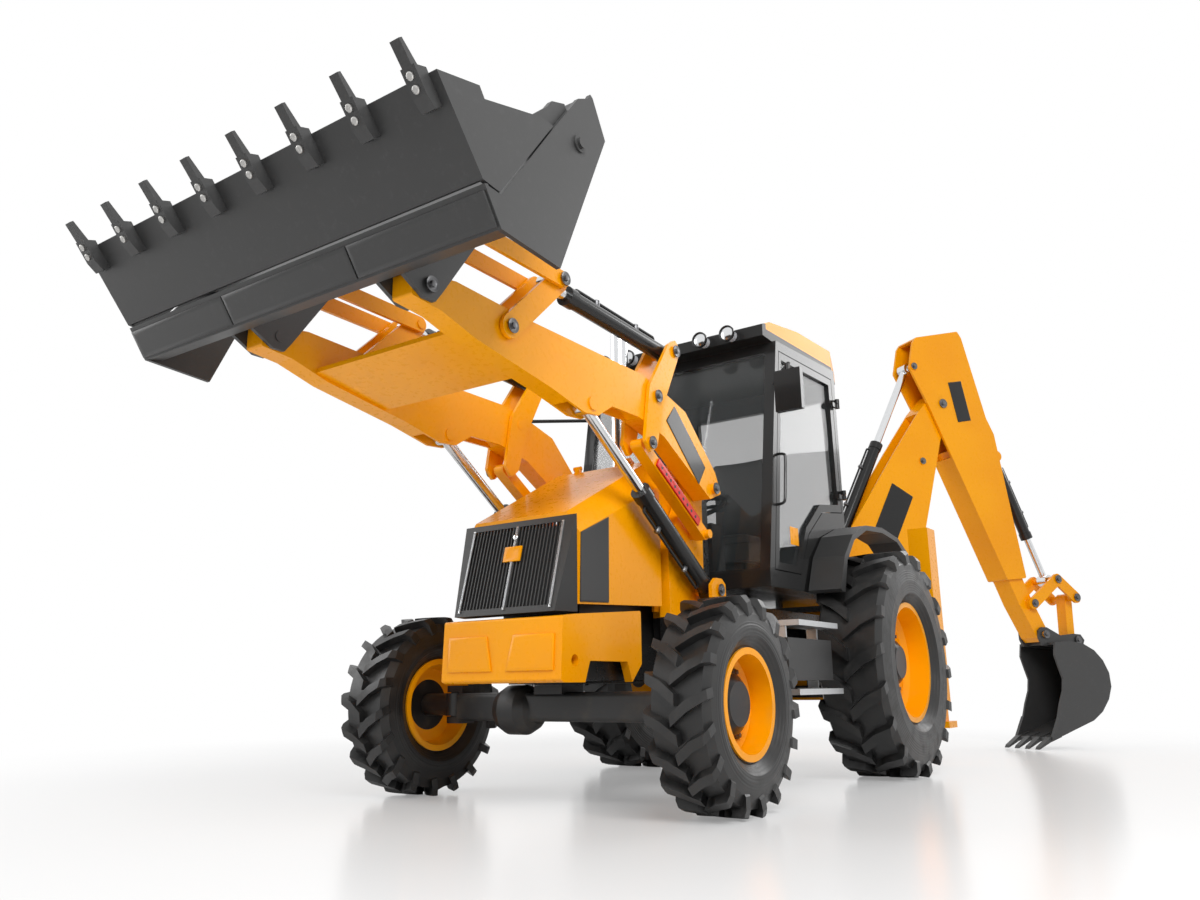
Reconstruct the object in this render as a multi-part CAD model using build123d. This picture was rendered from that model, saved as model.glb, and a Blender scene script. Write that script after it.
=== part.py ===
from build123d import *
import os
from math import atan2, degrees, hypot

# Backhoe loader, millimetres. The machine faces -Y, +X is its left side, the ground is z = 0,
# the middle of the machine is x = 0 and the rear axle stands at y = 0.
# Side views are drawn with (y, z) points. The backhoe is drawn straight back, with (s, z) points
# where s is the distance behind the swing post, and is then turned to where it is parked.

# ---- sizes ------------------------------------------------------------------------------------
WHEELBASE = 2200
FRONT_Y = -WHEELBASE

FRONT_TYRE_RADIUS = 485
FRONT_TYRE_WIDTH = 310
FRONT_RIM_RADIUS = 250
FRONT_DISH = -20            # where the wheel disc stands, from the middle of the tyre
FRONT_TRACK = 1940
KINGPIN_X = 720

REAR_TYRE_RADIUS = 700
REAR_TYRE_WIDTH = 430
REAR_RIM_RADIUS = 372
REAR_DISH = 10
REAR_TRACK = 1910

PIN_CLEARANCE = 0.1        # radial, a pin in its bore
SEAT_GAP = 0.3             # between curved or moulded pieces that sit on each other
SIDE_GAP = 5               # beside a plate that swings past another
SPINDLE_RADIUS = 55
DISC = 12                  # thickness of a wheel's disc
HUB_DEPTH = 60             # from the wheel disc out to the hub's cap

# loader, side view
ARM_X = 475                # middle of each arm
ARM_HALF = 55
CHEEK = 20                 # thickness of lever plates and ears
LOADER_PIN = 25
ARM_PIVOT = (-1434, 1666)
LEVER_PIVOT = (-2053, 2067)
LEVER_TOP = (-1854, 2374)
LEVER_FOOT = (-2122, 1798)
LINK_PIVOT = (ARM_PIVOT[0] + LEVER_FOOT[0] - LEVER_PIVOT[0], ARM_PIVOT[1] + LEVER_FOOT[1] - LEVER_PIVOT[1])
LIFT_BASE = (-1449, 1085)
LIFT_EYE = (-2610, 1900)
FRONT_LEVER_PIVOT = (-3240, 2097)
FRONT_LEVER_TOP = (-2897, 2433)
BUCKET_PIVOT = (-3730, 2120)
BUCKET_LINK_PIN = (-3500, 2450)
JAW_PIVOT = (-3499, 2649)
BUCKET_HALF = 1120
BUCKET_SHEET = 20

# backhoe, side view behind the swing post
SWING_Y = 1360
PARKED_SWING = 33          # degrees to the machine's left
HOE_PIN = 28
BOOM_HALF = 90
BOOM_PLATE = 15
DIPPER_HALF = 120
DIPPER_PLATE = 22
BOOM_FOOT = (280, 720)
BOOM_RAM_BASE = (120, 1250)
BOOM_RAM_EYE = (1072, 2483)
DIPPER_PIVOT = (1333, 3031)
DIPPER_RAM_BASE = (200, 1760)
DIPPER_RAM_EYE = (1047, 3356)
HOE_LEVER_PIVOT = (2114, 1248)
HOE_LEVER_RAM = (2420, 1470)
HOE_LEVER_TIP = (2620, 1310)
HOE_BUCKET_PIVOT = (2218, 978)
HOE_BUCKET_LINK = (2600, 930)
BUCKET_RAM_BASE = (1957, 2602)
HOE_BUCKET_HALF = 205
HOE_TEETH = 4


# ---- drawing helpers --------------------------------------------------------------------------
def face_yz(points, radius=0):
    """A flat side-view outline, with its corners rounded if a radius is given."""
    if radius:
        wire = FilletPolyline(*points, radius=radius, close=True)
    else:
        wire = Polyline(*points, close=True)
    return make_face(Plane.YZ * wire)


def plate(points, x_from, x_to, radius=0):
    """A side-view outline given thickness from one x to another."""
    return Pos(X=x_from) * extrude(face_yz(points, radius), amount=x_to - x_from, dir=(1, 0, 0))


def round_bar(centre, radius, x_from, x_to):
    """A cylinder across the machine at a (y, z) centre."""
    y, z = centre
    return Pos((x_from + x_to) / 2, y, z) * Rot(Y=90) * Cylinder(radius, x_to - x_from)


def block(x, y, z):
    """A box from three (low, high) pairs."""
    size = [high - low for low, high in (x, y, z)]
    middle = [(high + low) / 2 for low, high in (x, y, z)]
    return Pos(*middle) * Box(*size)


def strap(pins, half_width, x_from, x_to):
    """A plate with a round end at every pin of a chain."""
    shape = Part()
    for pin in pins:
        shape += round_bar(pin, half_width, x_from, x_to)
    for (y1, z1), (y2, z2) in zip(pins, pins[1:]):
        length = hypot(y2 - y1, z2 - z1)
        side_y = -(z2 - z1) / length * half_width
        side_z = (y2 - y1) / length * half_width
        shape += plate([(y1 + side_y, z1 + side_z), (y2 + side_y, z2 + side_z),
                        (y2 - side_y, z2 - side_z), (y1 - side_y, z1 - side_z)], x_from, x_to)
    return shape


def both_sides(shape):
    """The same piece on the left and on the right."""
    return shape + mirror(shape, about=Plane.YZ)


def ram(base, eye, x, barrel_radius, rod_radius, barrel_length, rod_inside, pin_radius, eye_half):
    """The barrel and the rod of a hydraulic cylinder that lies in the plane x."""
    length = hypot(eye[0] - base[0], eye[1] - base[1])
    eye_radius = pin_radius + 22
    place = Pos(x, *base) * Rot(X=-degrees(atan2(eye[0] - base[0], eye[1] - base[1])))
    across = Rot(Y=90)
    tail = eye_radius * 0.6
    barrel = Pos(Z=(tail + barrel_length) / 2) * Cylinder(barrel_radius, barrel_length - tail)
    barrel += Pos(Z=barrel_length - 30) * Cylinder(barrel_radius + 6, 60)
    barrel += across * Cylinder(eye_radius, 2 * eye_half)
    bore_length = barrel_length - eye_radius - 20
    barrel -= Pos(Z=barrel_length - bore_length / 2) * Cylinder(rod_radius + PIN_CLEARANCE, bore_length)
    barrel -= across * Cylinder(pin_radius + PIN_CLEARANCE, 2 * eye_half)
    rod_start = barrel_length - rod_inside
    rod_end = length - eye_radius * 0.6
    rod = Pos(Z=(rod_start + rod_end) / 2) * Cylinder(rod_radius, rod_end - rod_start)
    rod += Pos(Z=length) * across * Cylinder(eye_radius, 2 * eye_half)
    rod -= Pos(Z=length) * across * Cylinder(pin_radius + 1, 2 * eye_half)
    return place * barrel, place * rod


def bar(start, end, radius):
    """A round bar between two points."""
    run = Vector(*end) - Vector(*start)
    return extrude(Plane(origin=start, z_dir=run) * Circle(radius), amount=run.length)


NODES = {}                 # node name: shape, in the machine's own frame


# ---- wheels -----------------------------------------------------------------------------------
LUG_DEPTH = 40
LUGS = 18                  # on each side of a tyre
TREAD_TURN = 3             # keeps the carcass's seam off the lugs


def lugs(radius, half):
    """The slanted bars of both sides of a tread. Their inner ends lead as the wheel rolls forward."""
    step = radius * 0.105
    plan = make_face(Polyline((-12, 0), (half * 0.45, step * 1.2), (half * 1.1, step * 2.2), (half * 1.1, step * 3),
                              (half * 0.4, step * 2.1), (-12, step), close=True))
    side = [(-20, radius - 70), (-20, radius + 20), (half * 0.6, radius + 20), (half * 0.88, radius - 12), (half * 0.99, radius - 50),
            (half * 0.99, radius - 105), (half * 0.85, radius - 130)]
    bar = Pos(Z=radius - 150) * extrude(plan, amount=200)
    bar &= Pos(Y=-500) * extrude(make_face(Plane.XZ * Polyline(*side, close=True)), amount=1000, dir=(0, 1, 0))
    bar &= Rot(Y=90) * Cylinder(radius, 2 * half + 100)
    other = mirror(bar, about=Plane.YZ)
    pitch = 360 / LUGS
    turned = [Rot(X=pitch * turn) * bar for turn in range(LUGS)]
    turned += [Rot(X=pitch * (turn + 0.5)) * other for turn in range(LUGS)]
    return turned


def wheel_shapes(tyre_radius, tyre_width, rim_radius, dish_x):
    """Tyre and rim on the X axis, outboard side at +X."""
    half = tyre_width / 2
    bead = rim_radius - 18
    tread = tyre_radius - LUG_DEPTH
    flank = [(half * 0.72, bead), (half * 0.72, rim_radius + 5), (half * 0.98, bead + 75),
             (half, (bead + tread) / 2), (half * 0.93, tread - 45), (half * 0.80, tread)]
    outline = flank + [(-x, r) for x, r in reversed(flank)]
    tyre = Rot(X=TREAD_TURN) * revolve(make_face(Plane.XY * Polyline(*outline, close=True)), axis=Axis.X)
    tyre += lugs(tyre_radius, half)
    seat = bead - SEAT_GAP
    wall = DISC
    lip = rim_radius
    edge = half * 0.72 + SEAT_GAP
    rim_outline = [(-edge, seat), (-edge, lip), (-edge - wall, lip), (-edge - wall, seat - wall), (dish_x - wall, seat - wall - 20),
                   (dish_x - wall, SPINDLE_RADIUS + PIN_CLEARANCE), (dish_x + HUB_DEPTH, SPINDLE_RADIUS + PIN_CLEARANCE),
                   (dish_x + HUB_DEPTH, 0), (dish_x + HUB_DEPTH + 30, 0), (dish_x + HUB_DEPTH + 30, 100), (dish_x + HUB_DEPTH, 135), (dish_x, 150),
                   (dish_x, seat - wall - 40), (dish_x + 30, seat - wall), (edge + wall, seat - wall), (edge + wall, lip),
                   (edge, lip), (edge, seat)]
    rim = revolve(make_face(Plane.XY * Polyline(*rim_outline, close=True)), axis=Axis.X)
    return tyre, rim


WHEELS = [  # name, x, y, radius, width, rim radius, dish
    ("front_left", FRONT_TRACK / 2, FRONT_Y, FRONT_TYRE_RADIUS, FRONT_TYRE_WIDTH, FRONT_RIM_RADIUS, FRONT_DISH),
    ("front_right", -FRONT_TRACK / 2, FRONT_Y, FRONT_TYRE_RADIUS, FRONT_TYRE_WIDTH, FRONT_RIM_RADIUS, FRONT_DISH),
    ("rear_left", REAR_TRACK / 2, 0, REAR_TYRE_RADIUS, REAR_TYRE_WIDTH, REAR_RIM_RADIUS, REAR_DISH),
    ("rear_right", -REAR_TRACK / 2, 0, REAR_TYRE_RADIUS, REAR_TYRE_WIDTH, REAR_RIM_RADIUS, REAR_DISH),
]


def make_wheels():
    for name, x, y, radius, width, rim_radius, dish in WHEELS:
        tyre, rim = wheel_shapes(radius, width, rim_radius, dish)
        if x < 0:
            tyre = mirror(tyre, about=Plane.YZ)
            rim = mirror(rim, about=Plane.YZ)
        NODES[name + "_tyre"] = Pos(x, y, radius) * tyre
        NODES[name + "_rim"] = Pos(x, y, radius) * rim


# ---- axles and knuckles -----------------------------------------------------------------------
KINGPIN_RADIUS = 30
YOKE_Z = (FRONT_TYRE_RADIUS - 100, FRONT_TYRE_RADIUS + 100)
YOKE = 35                  # thickness of each lug of the yoke
PIVOT_SEAT = 580           # height of the axle's seat under the frame


DIFF_RADIUS = 127
DIFF_X = -260
AXLE_DEPTH = 150


def housing(radius, half):
    """A differential's round housing on the X axis, drawn in towards the axle at both ends."""
    outline = [(-half, 0), (-half, radius * 0.55), (-half * 0.8, radius * 0.8), (-half * 0.4, radius), (half * 0.4, radius),
               (half * 0.8, radius * 0.8), (half, radius * 0.55), (half, 0)]
    return revolve(make_face(Plane.XY * Polyline(*outline, close=True)), axis=Axis.X)


def make_axles():
    z = FRONT_TYRE_RADIUS
    beam = block((-KINGPIN_X + 75, KINGPIN_X - 75), (FRONT_Y - AXLE_DEPTH / 2, FRONT_Y + AXLE_DEPTH / 2), (z - 85, z + 60))
    beam = fillet(beam.edges().filter_by(Axis.X), 25)
    beam += Pos(DIFF_X, FRONT_Y, z - 28) * housing(DIFF_RADIUS, 130)
    beam += block((-90, 90), (FRONT_Y - 90, FRONT_Y + 90), (z + 50, PIVOT_SEAT - SEAT_GAP))
    yoke = block((KINGPIN_X - 90, KINGPIN_X - 66), (FRONT_Y - 50, FRONT_Y + 50), YOKE_Z)
    for low, high in ((YOKE_Z[0], YOKE_Z[0] + YOKE), (YOKE_Z[1] - YOKE, YOKE_Z[1])):
        yoke += Pos(KINGPIN_X, FRONT_Y, (low + high) / 2) * Cylinder(50, high - low)
        yoke += block((KINGPIN_X - 90, KINGPIN_X), (FRONT_Y - 50, FRONT_Y + 50), (low, high))
    yoke += Pos(KINGPIN_X, FRONT_Y, z) * Cylinder(KINGPIN_RADIUS, YOKE_Z[1] - YOKE_Z[0])
    NODES["front_axle"] = beam + yoke + mirror(yoke, about=Plane.YZ)
    for name, side in (("left", 1), ("right", -1)):
        hub = Pos(KINGPIN_X, FRONT_Y, z) * Cylinder(58, YOKE_Z[1] - YOKE_Z[0] - 2 * (YOKE + SIDE_GAP))
        hub += round_bar((FRONT_Y, z), 60, KINGPIN_X, FRONT_TRACK / 2 + FRONT_DISH - DISC - 3)
        hub += round_bar((FRONT_Y, z), SPINDLE_RADIUS, KINGPIN_X, FRONT_TRACK / 2 + FRONT_DISH + HUB_DEPTH - 1)
        hub += block((KINGPIN_X - 5, KINGPIN_X + 35), (FRONT_Y, FRONT_Y + 190), (z - 25, z + 25))
        hub -= Pos(KINGPIN_X, FRONT_Y, z) * Cylinder(KINGPIN_RADIUS + PIN_CLEARANCE, 300)
        NODES["knuckle_" + name] = hub if side > 0 else mirror(hub, about=Plane.YZ)
    z = REAR_TYRE_RADIUS
    disc = REAR_TRACK / 2 + REAR_DISH
    axle = round_bar((0, z), 95, -(disc - DISC - 3), disc - DISC - 3)
    axle += Pos(0, 0, z) * housing(215, 240)
    axle += round_bar((0, z), SPINDLE_RADIUS, -(disc + HUB_DEPTH - 1), disc + HUB_DEPTH - 1)
    NODES["rear_axle"] = axle


# ---- chassis ----------------------------------------------------------------------------------
RAIL_X = (250, 310)
NOSE_BACK = -2600
FRAME_FRONT = NOSE_BACK + SEAT_GAP
CROSS_TOP = 760
FRAME_REAR = 1030
RAIL_Z = (600, 780)
TOWER_X = (345, 410)
COWL_HALF = 332
COWL_TOP = 1795
STACK_TOP = 2760
STAB_X = (850, 1000)
STAB_Y = (1000, 1180)
STAB_WALL = 14
LEG_GAP = 5


def make_chassis():
    front = block(RAIL_X, (FRAME_FRONT, -350), RAIL_Z)
    rear = block(RAIL_X, (350, FRAME_REAR), (560, 860))
    over_axle = plate([(-600, 580), (-350, 580), (-240, 950), (240, 950), (350, 560), (600, 560), (600, 1060), (-600, 1060)], *RAIL_X)
    frame = both_sides(front + rear + over_axle)
    crosses = ((FRAME_FRONT + 40, 600, CROSS_TOP), (-1900, 600, CROSS_TOP), (-1200, 600, CROSS_TOP), (-560, 960, 1050), (560, 900, 1050))
    for y, z_low, z_high in crosses:
        frame += block((-RAIL_X[0] - 5, RAIL_X[0] + 5), (y - 30, y + 30), (z_low, z_high))
    frame += block((-90, 90), (FRONT_Y - 90, FRONT_Y + 90), (PIVOT_SEAT, 640))
    frame += block((-RAIL_X[0] - 5, RAIL_X[0] + 5), (FRONT_Y - 90, FRONT_Y + 90), (600, 640))
    tower = plate([(-1750, 700), (-1380, 700), (-1360, 1600), (-1345, 1690), (-1400, 1760), (-1480, 1760), (-1640, 1480), (-1750, 1300)],
                  *TOWER_X, 20)
    tower += block((RAIL_X[0], TOWER_X[1]), (-1740, -1390), (700, 780))
    ear_x = ARM_X + ARM_HALF + SIDE_GAP
    tower += block((TOWER_X[0], ear_x + CHEEK), (-1540, -1380), (940, 1000))
    tower += plate([(-1540, 940), (-1380, 940), (-1380, 1120), (-1420, 1150), (-1490, 1150), (-1540, 1110)], ear_x, ear_x + CHEEK, 10)
    tower += round_bar(LIFT_BASE, LOADER_PIN, TOWER_X[1] - 5, ear_x + CHEEK + 8)
    tower += round_bar(LINK_PIVOT, LOADER_PIN, TOWER_X[1] - 5, ARM_X + ARM_HALF + 8)
    tower += round_bar(ARM_PIVOT, LOADER_PIN + 5, TOWER_X[1] - 5, ARM_X + ARM_HALF + 20)
    frame += both_sides(tower)
    cowl = plate([(-1785, 960), (-1785, 1735), (-1740, COWL_TOP), (-1160, COWL_TOP), (-1160, 960)], -COWL_HALF, COWL_HALF)
    cowl -= plate([(-1900, 900), (-1900, 1720), (-1735, COWL_TOP - 15), (-1100, COWL_TOP - 15), (-1100, 900)], -COWL_HALF + 15, COWL_HALF - 15)
    frame += cowl + both_sides(block((270, RAIL_X[1]), (-1700, -1200), (RAIL_Z[1] - 5, 975)) + block((270, 325), (-1700, -1200), (955, 975)))
    # rear frame with the slide bars and the two stabiliser tubes
    back = block((-850, 850), (FRAME_REAR, 1100), (470, 560))
    back += block((-850, 850), (FRAME_REAR, 1100), (1130, 1220))
    for x in (-560, -280, 250, 530):
        back += block((x, x + 30), (FRAME_REAR, 1100), (470, 1220))
    back += both_sides(block(RAIL_X, (FRAME_REAR - 30, 1100), (560, 860)))
    tube = block(STAB_X, STAB_Y, (430, 1700))
    tube -= block((STAB_X[0] + STAB_WALL, STAB_X[1] - STAB_WALL), (STAB_Y[0] + STAB_WALL, STAB_Y[1] - STAB_WALL), (430, 1700 - STAB_WALL))
    tube += block((840, 855), (FRAME_REAR, 1100), (470, 560)) + block((840, 855), (FRAME_REAR, 1100), (1130, 1220))
    pads = block((STAB_X[0] + STAB_WALL, STAB_X[1] - STAB_WALL), (STAB_Y[0] + STAB_WALL, STAB_Y[1] - STAB_WALL), (430, 500))
    slide = STAB_WALL + LEG_GAP - SEAT_GAP
    pads -= block((STAB_X[0] + slide, STAB_X[1] - slide), (STAB_Y[0] + slide, STAB_Y[1] - slide), (430, 500))
    frame += back + both_sides(tube + pads)
    frame += both_sides(strap([BONNET_HINGE, (-1740, 1790)], HINGE_KNUCKLE, 185, 200) + round_bar(BONNET_HINGE, HINGE_PIN, 145, 200))
    NODES["chassis_frame"] = frame
    NODES["engine_block"] = block((SEAT_GAP - RAIL_X[0], RAIL_X[0] - SEAT_GAP), (-2350, -1500), (CROSS_TOP + SEAT_GAP, 1300))
    inside = STAB_WALL + LEG_GAP
    leg = block((STAB_X[0] + inside, STAB_X[1] - inside), (STAB_Y[0] + inside, STAB_Y[1] - inside), (300, 1640))
    leg += block((STAB_X[0] - 30, STAB_X[1] + 30), (STAB_Y[0] - 5, STAB_Y[1] + 5), (255, 300))
    NODES["stabiliser_left"] = leg
    NODES["stabiliser_right"] = mirror(leg, about=Plane.YZ)


# ---- nose, bonnet and grille ------------------------------------------------------------------
NOSE_HALF = 378
TIE_HOLE = (-2560, 690)
TIE_HOLE_RADIUS = 28
BONNET_HALF = 385
BONNET_FRONT = -2520
BONNET_REAR = -1790
GRILLE_FOOT = (-2644, 918)
GRILLE_HEAD = (-2489, 1392)
RIBS = 12                  # upright bars in each half of the grille
BONNET_HINGE = (-1787.5, 1820)
HINGE_PIN = 6
HINGE_KNUCKLE = 13


def section_xz(y, half_low, half_shoulder, z_low, z_shoulder, z_top, half_top):
    points = [(-half_low, z_low), (half_low, z_low), (half_shoulder, z_shoulder), (half_top, z_top),
              (-half_top, z_top), (-half_shoulder, z_shoulder)]
    return make_face(Pos(Y=y) * Rot(X=90) * Polyline(*points, close=True))


def make_nose():
    nose = plate([(-2640, 590), (-2080, 590), (-1990, 680), (-1990, 950), (-2560, 905), (-2653, 894), (-2667, 600)], -NOSE_HALF, NOSE_HALF, 12)
    inner = plate([(NOSE_BACK, 560), (-1980, 560), (-1980, 960), (-2540, 960), (NOSE_BACK, 870)], -NOSE_HALF + 45, NOSE_HALF - 45)
    nose -= inner
    arch = plate([(-2500, 540), (-2440, 690), (-2120, 690), (-2060, 540)], -500, 500)
    for x_from, x_to in ((NOSE_HALF - 60, NOSE_HALF + 5), (-NOSE_HALF - 5, 60 - NOSE_HALF)):
        nose -= round_bar(TIE_HOLE, TIE_HOLE_RADIUS, x_from, x_to)
    NODES["nose_casting"] = nose - arch
    outer = loft([section_xz(BONNET_FRONT, 372, 380, 955, 1300, 1410, 300), section_xz(BONNET_REAR, 385, 385, 985, 1640, 1795, 320)])
    inner = loft([section_xz(BONNET_FRONT - 1, 352, 360, 954, 1285, 1385, 285), section_xz(BONNET_REAR + 1, 365, 365, 984, 1625, 1770, 305)])
    lug = strap([BONNET_HINGE, (-1806, 1782)], HINGE_KNUCKLE, 150, 180)
    NODES["bonnet"] = outer - inner + both_sides(lug - round_bar(BONNET_HINGE, HINGE_PIN + PIN_CLEARANCE, 150, 180))
    slab = plate([(GRILLE_FOOT[0], 918), (GRILLE_HEAD[0] - 33, 1392), (BONNET_FRONT - SEAT_GAP, 1392), (BONNET_FRONT - SEAT_GAP, 918)], -380, 380)
    corner = extrude(make_face(Polyline((-300, -2700), (300, -2700), (372, -2500), (-372, -2500), close=True)), amount=2000)
    grille = slab & corner
    slope = (GRILLE_HEAD[0] - 33 - GRILLE_FOOT[0]) / (1392 - 918)

    def on_grille(z, back):
        """A point on the grille's sloping front at a height, or behind it."""
        return (GRILLE_FOOT[0] + (z - 918) * slope + back, z)

    recess = plate([on_grille(950, -20), on_grille(1362, -20), on_grille(1362, 14), on_grille(950, 14)], 14, 288)
    grille -= both_sides(recess)
    for rib in range(RIBS):
        x = 30 + rib * (272 - 30) / (RIBS - 1)
        grille += both_sides(plate([on_grille(949, 2), on_grille(1363, 2), on_grille(1363, 16), on_grille(949, 16)], x - 3, x + 3))
    NODES["grille"] = grille


# ---- cab --------------------------------------------------------------------------------------
CAB_HALF = 740
CAB_WALL = 45
CAB_FLOOR = 1120
DOOR_GAP = 6
CAB_SIDE = [(-1130, CAB_FLOOR), (400, CAB_FLOOR), (400, 1500), (330, 2730), (-880, 2690), (-1130, 1215)]
CAB_PLAN = [(-715, -1200), (715, -1200), (CAB_HALF, 20), (580, 420), (-580, 420), (-CAB_HALF, 20)]
DOOR = [(-1060, 1225), (-720, 1225), (-570, 1490), (-340, 1660), (-20, 1700), (-40, 2640), (-845, 2625)]
DOOR_WINDOW = [(-1005, 1270), (-745, 1270), (-600, 1525), (-370, 1705), (-70, 1745), (-88, 2590), (-820, 2575)]
DOOR_HINGE = (CAB_HALF + 22, -10)
DOOR_HINGE_HEIGHTS = (1800, 2450)
DOOR_PIN = 8
DOOR_KNUCKLE = 16
ROOF_PLAN = [(-690, -1010), (690, -1010), (725, 20), (600, 400), (-600, 400), (-725, 20)]


def grown(points, amount):
    """An outline moved outwards by a gap."""
    return offset(face_yz(points), amount=amount, kind=Kind.INTERSECTION)


def cab_hull(inset):
    """The cab's outer shape, drawn in by an inset on every side."""
    side = face_yz(CAB_SIDE)
    plan = make_face(Polyline(*CAB_PLAN, close=True))
    if inset:
        side = grown(CAB_SIDE, -inset)
        plan = offset(plan, amount=-inset, kind=Kind.INTERSECTION)
    return Pos(X=-1000) * extrude(side, amount=2000, dir=(1, 0, 0)) & Pos(Z=1000) * extrude(plan, amount=2000)


STEP_Y = (-1475, -885)


def make_steps():
    """The two treads on the left side, on their brackets."""
    steps = block((800, 1010), STEP_Y, (515, 545)) + block((840, 1000), (STEP_Y[0] + 60, STEP_Y[1]), (875, 905))
    for y in (STEP_Y[0] + 90, STEP_Y[1] - 90):
        steps += block((840, 900), (y - 8, y + 8), (540, 590 - SEAT_GAP))
        steps += block((850, 910), (y - 8, y + 8), (810 + SEAT_GAP, 880))
    return steps


def make_cab():
    outer = cab_hull(0)
    shell = outer - cab_hull(CAB_WALL)
    openings = [
        block((-650, 650), (-1300, -700), (1230, 2620)),
        block((-520, 520), (250, 600), (1560, 2600)),
        both_sides(plate([(90, 1660), (300, 1660), (270, 2600), (80, 2600)], 400, 900)),
    ]
    doorway = both_sides(extrude(grown(DOOR, DOOR_GAP), amount=1000, dir=(1, 0, 0)) & block((660, 1000), (-2000, 1000), (0, 4000)))
    frame = shell - block((-600, 600), (-800, 250), (2600, 3000))
    for opening in openings:
        frame -= opening
    frame -= doorway
    hinge_x, hinge_y = DOOR_HINGE
    knuckles = Part()
    for height in DOOR_HINGE_HEIGHTS:
        pinned = Pos(hinge_x, hinge_y, height + 35) * Cylinder(DOOR_KNUCKLE, 30)
        pinned += block((CAB_HALF - 12, hinge_x), (hinge_y, hinge_y + 35), (height + 20, height + 50))
        pinned += Pos(hinge_x, hinge_y, height + 17) * Cylinder(DOOR_PIN, 66)
        frame += both_sides(pinned)
        knuckle = Pos(hinge_x, hinge_y, height) * Cylinder(DOOR_KNUCKLE, 30)
        knuckle += block((CAB_HALF + SIDE_GAP, hinge_x), (hinge_y - 80, hinge_y), (height - 15, height + 15))
        knuckle += block((CAB_HALF - 8, CAB_HALF + SIDE_GAP + 5), (hinge_y - 80, hinge_y - 35), (height - 15, height + 15))
        knuckles += knuckle - Pos(hinge_x, hinge_y, height) * Cylinder(DOOR_PIN + PIN_CLEARANCE, 60)
    NODES["cab_frame"] = frame
    pane_zone = cab_hull(18) - cab_hull(26)
    panes = Part()
    for opening in openings:
        panes += pane_zone & opening
    NODES["cab_glass"] = panes
    side_only = block((664, 1000), (-2000, 1000), (0, 4000))
    door = (shell & extrude(face_yz(DOOR), amount=1000, dir=(1, 0, 0)) & side_only) - extrude(face_yz(DOOR_WINDOW), amount=1000, dir=(1, 0, 0))
    pane = pane_zone & extrude(face_yz(DOOR_WINDOW), amount=1000, dir=(1, 0, 0)) & side_only
    door += knuckles
    NODES["door_left"] = door
    NODES["door_left_glass"] = pane
    NODES["door_right"] = mirror(door, about=Plane.YZ)
    NODES["door_right_glass"] = mirror(pane, about=Plane.YZ)
    roof = plate([(-1000, 2700), (-880, 2690 + SEAT_GAP), (330, 2730 + SEAT_GAP), (400, 2745), (380, 2815), (0, 2870),
                  (-500, 2865), (-900, 2815), (-1000, 2775)], -1000, 1000)
    roof &= Pos(Z=2000) * extrude(make_face(Polyline(*ROOF_PLAN, close=True)), amount=2000)
    NODES["cab_roof"] = roof
    fender = plate([(-660, 1125), (-640, 1110), (-590, 1110), (-520, 1310), (-380, 1450), (-150, 1540), (150, 1560), (440, 1530), (600, 1450),
                    (640, 1480), (460, 1560), (150, 1595), (-150, 1572), (-400, 1485), (-560, 1335)], CAB_HALF + SEAT_GAP, 950)
    NODES["rear_fenders"] = both_sides(fender)
    seat = block((-230, 230), (-420, 40), (1380, 1540)) + block((-220, 220), (-20, 90), (1500, 2150))
    floor = CAB_FLOOR + CAB_WALL + SEAT_GAP
    seat += block((-150, 150), (-350, -50), (floor, 1380))
    seat += block((-250, 250), (-960, -800), (floor, 1560))
    seat += bar((0, -830, 1500), (0, -720, 1700), 30)
    seat += Pos(0, -700, 1715) * Rot(X=30) * (Cylinder(200, 24) - Cylinder(174, 24) + Box(360, 34, 14) + Box(34, 360, 14))
    NODES["cab_interior"] = seat
    glass = bar((705, -915, 2400), (1000, -1345, 2350), 12) + bar((1000, -1345, 2350), (1000, -1350, 2290), 10)
    glass += block((920, 1080), (-1375, -1335), (2070, 2310))
    NODES["mirrors"] = both_sides(glass - cab_hull(-SEAT_GAP))
    NODES["side_steps"] = both_sides(make_steps())
    NODES["side_tanks"] = both_sides(block((RAIL_X[1], 960), (-1375, -900), (590, 810)) + block((420, 960), (-1480, -1370), (590, 810)))
    stack_foot = COWL_TOP + SEAT_GAP
    NODES["exhaust"] = Pos(-115, -1420, (stack_foot + STACK_TOP) / 2) * Cylinder(55, STACK_TOP - stack_foot)
    lamp = Pos(476, -1020 - SEAT_GAP, 2737) * Rot(X=90) * Cylinder(36, 40)
    lamp += Pos(279, -1020 - SEAT_GAP, 2737) * Rot(X=90) * Cylinder(36, 40)
    NODES["lamps"] = both_sides(lamp)


# ---- loader -----------------------------------------------------------------------------------
ARM_OUTLINE = [(-1340, 1650), (-1400, 1765), (-1720, 2060), (-1960, 2125), (-2160, 2166), (-3090, 2178), (-3560, 2200), (-3805, 2165),
               (-3805, 2062), (-3640, 2045), (-3430, 1985), (-2933, 1901), (-2672, 1842), (-2560, 1850), (-2440, 1925), (-2194, 1925), (-1955, 1870), (-1470, 1600)]
CROSS_PLATE = [(-3500, 2015), (-3500, 2035), (-3060, 1955), (-3060, 1935)]
SLOT_HALF = 40              # the slot under each arm that the lift cylinder and the lower link fold into
OUT_CHEEK = (ARM_X + ARM_HALF + SIDE_GAP, ARM_X + ARM_HALF + SIDE_GAP + CHEEK)
IN_CHEEK = (ARM_X - ARM_HALF - SIDE_GAP - CHEEK, ARM_X - ARM_HALF - SIDE_GAP)
OUT_LINK = (OUT_CHEEK[1] + SIDE_GAP, OUT_CHEEK[1] + SIDE_GAP + CHEEK)     # the tipping links pass outside the front levers
IN_LINK = (IN_CHEEK[0] - SIDE_GAP - CHEEK, IN_CHEEK[0] - SIDE_GAP)


def cheeks(make):
    return make(*OUT_CHEEK) + make(*IN_CHEEK)


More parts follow.
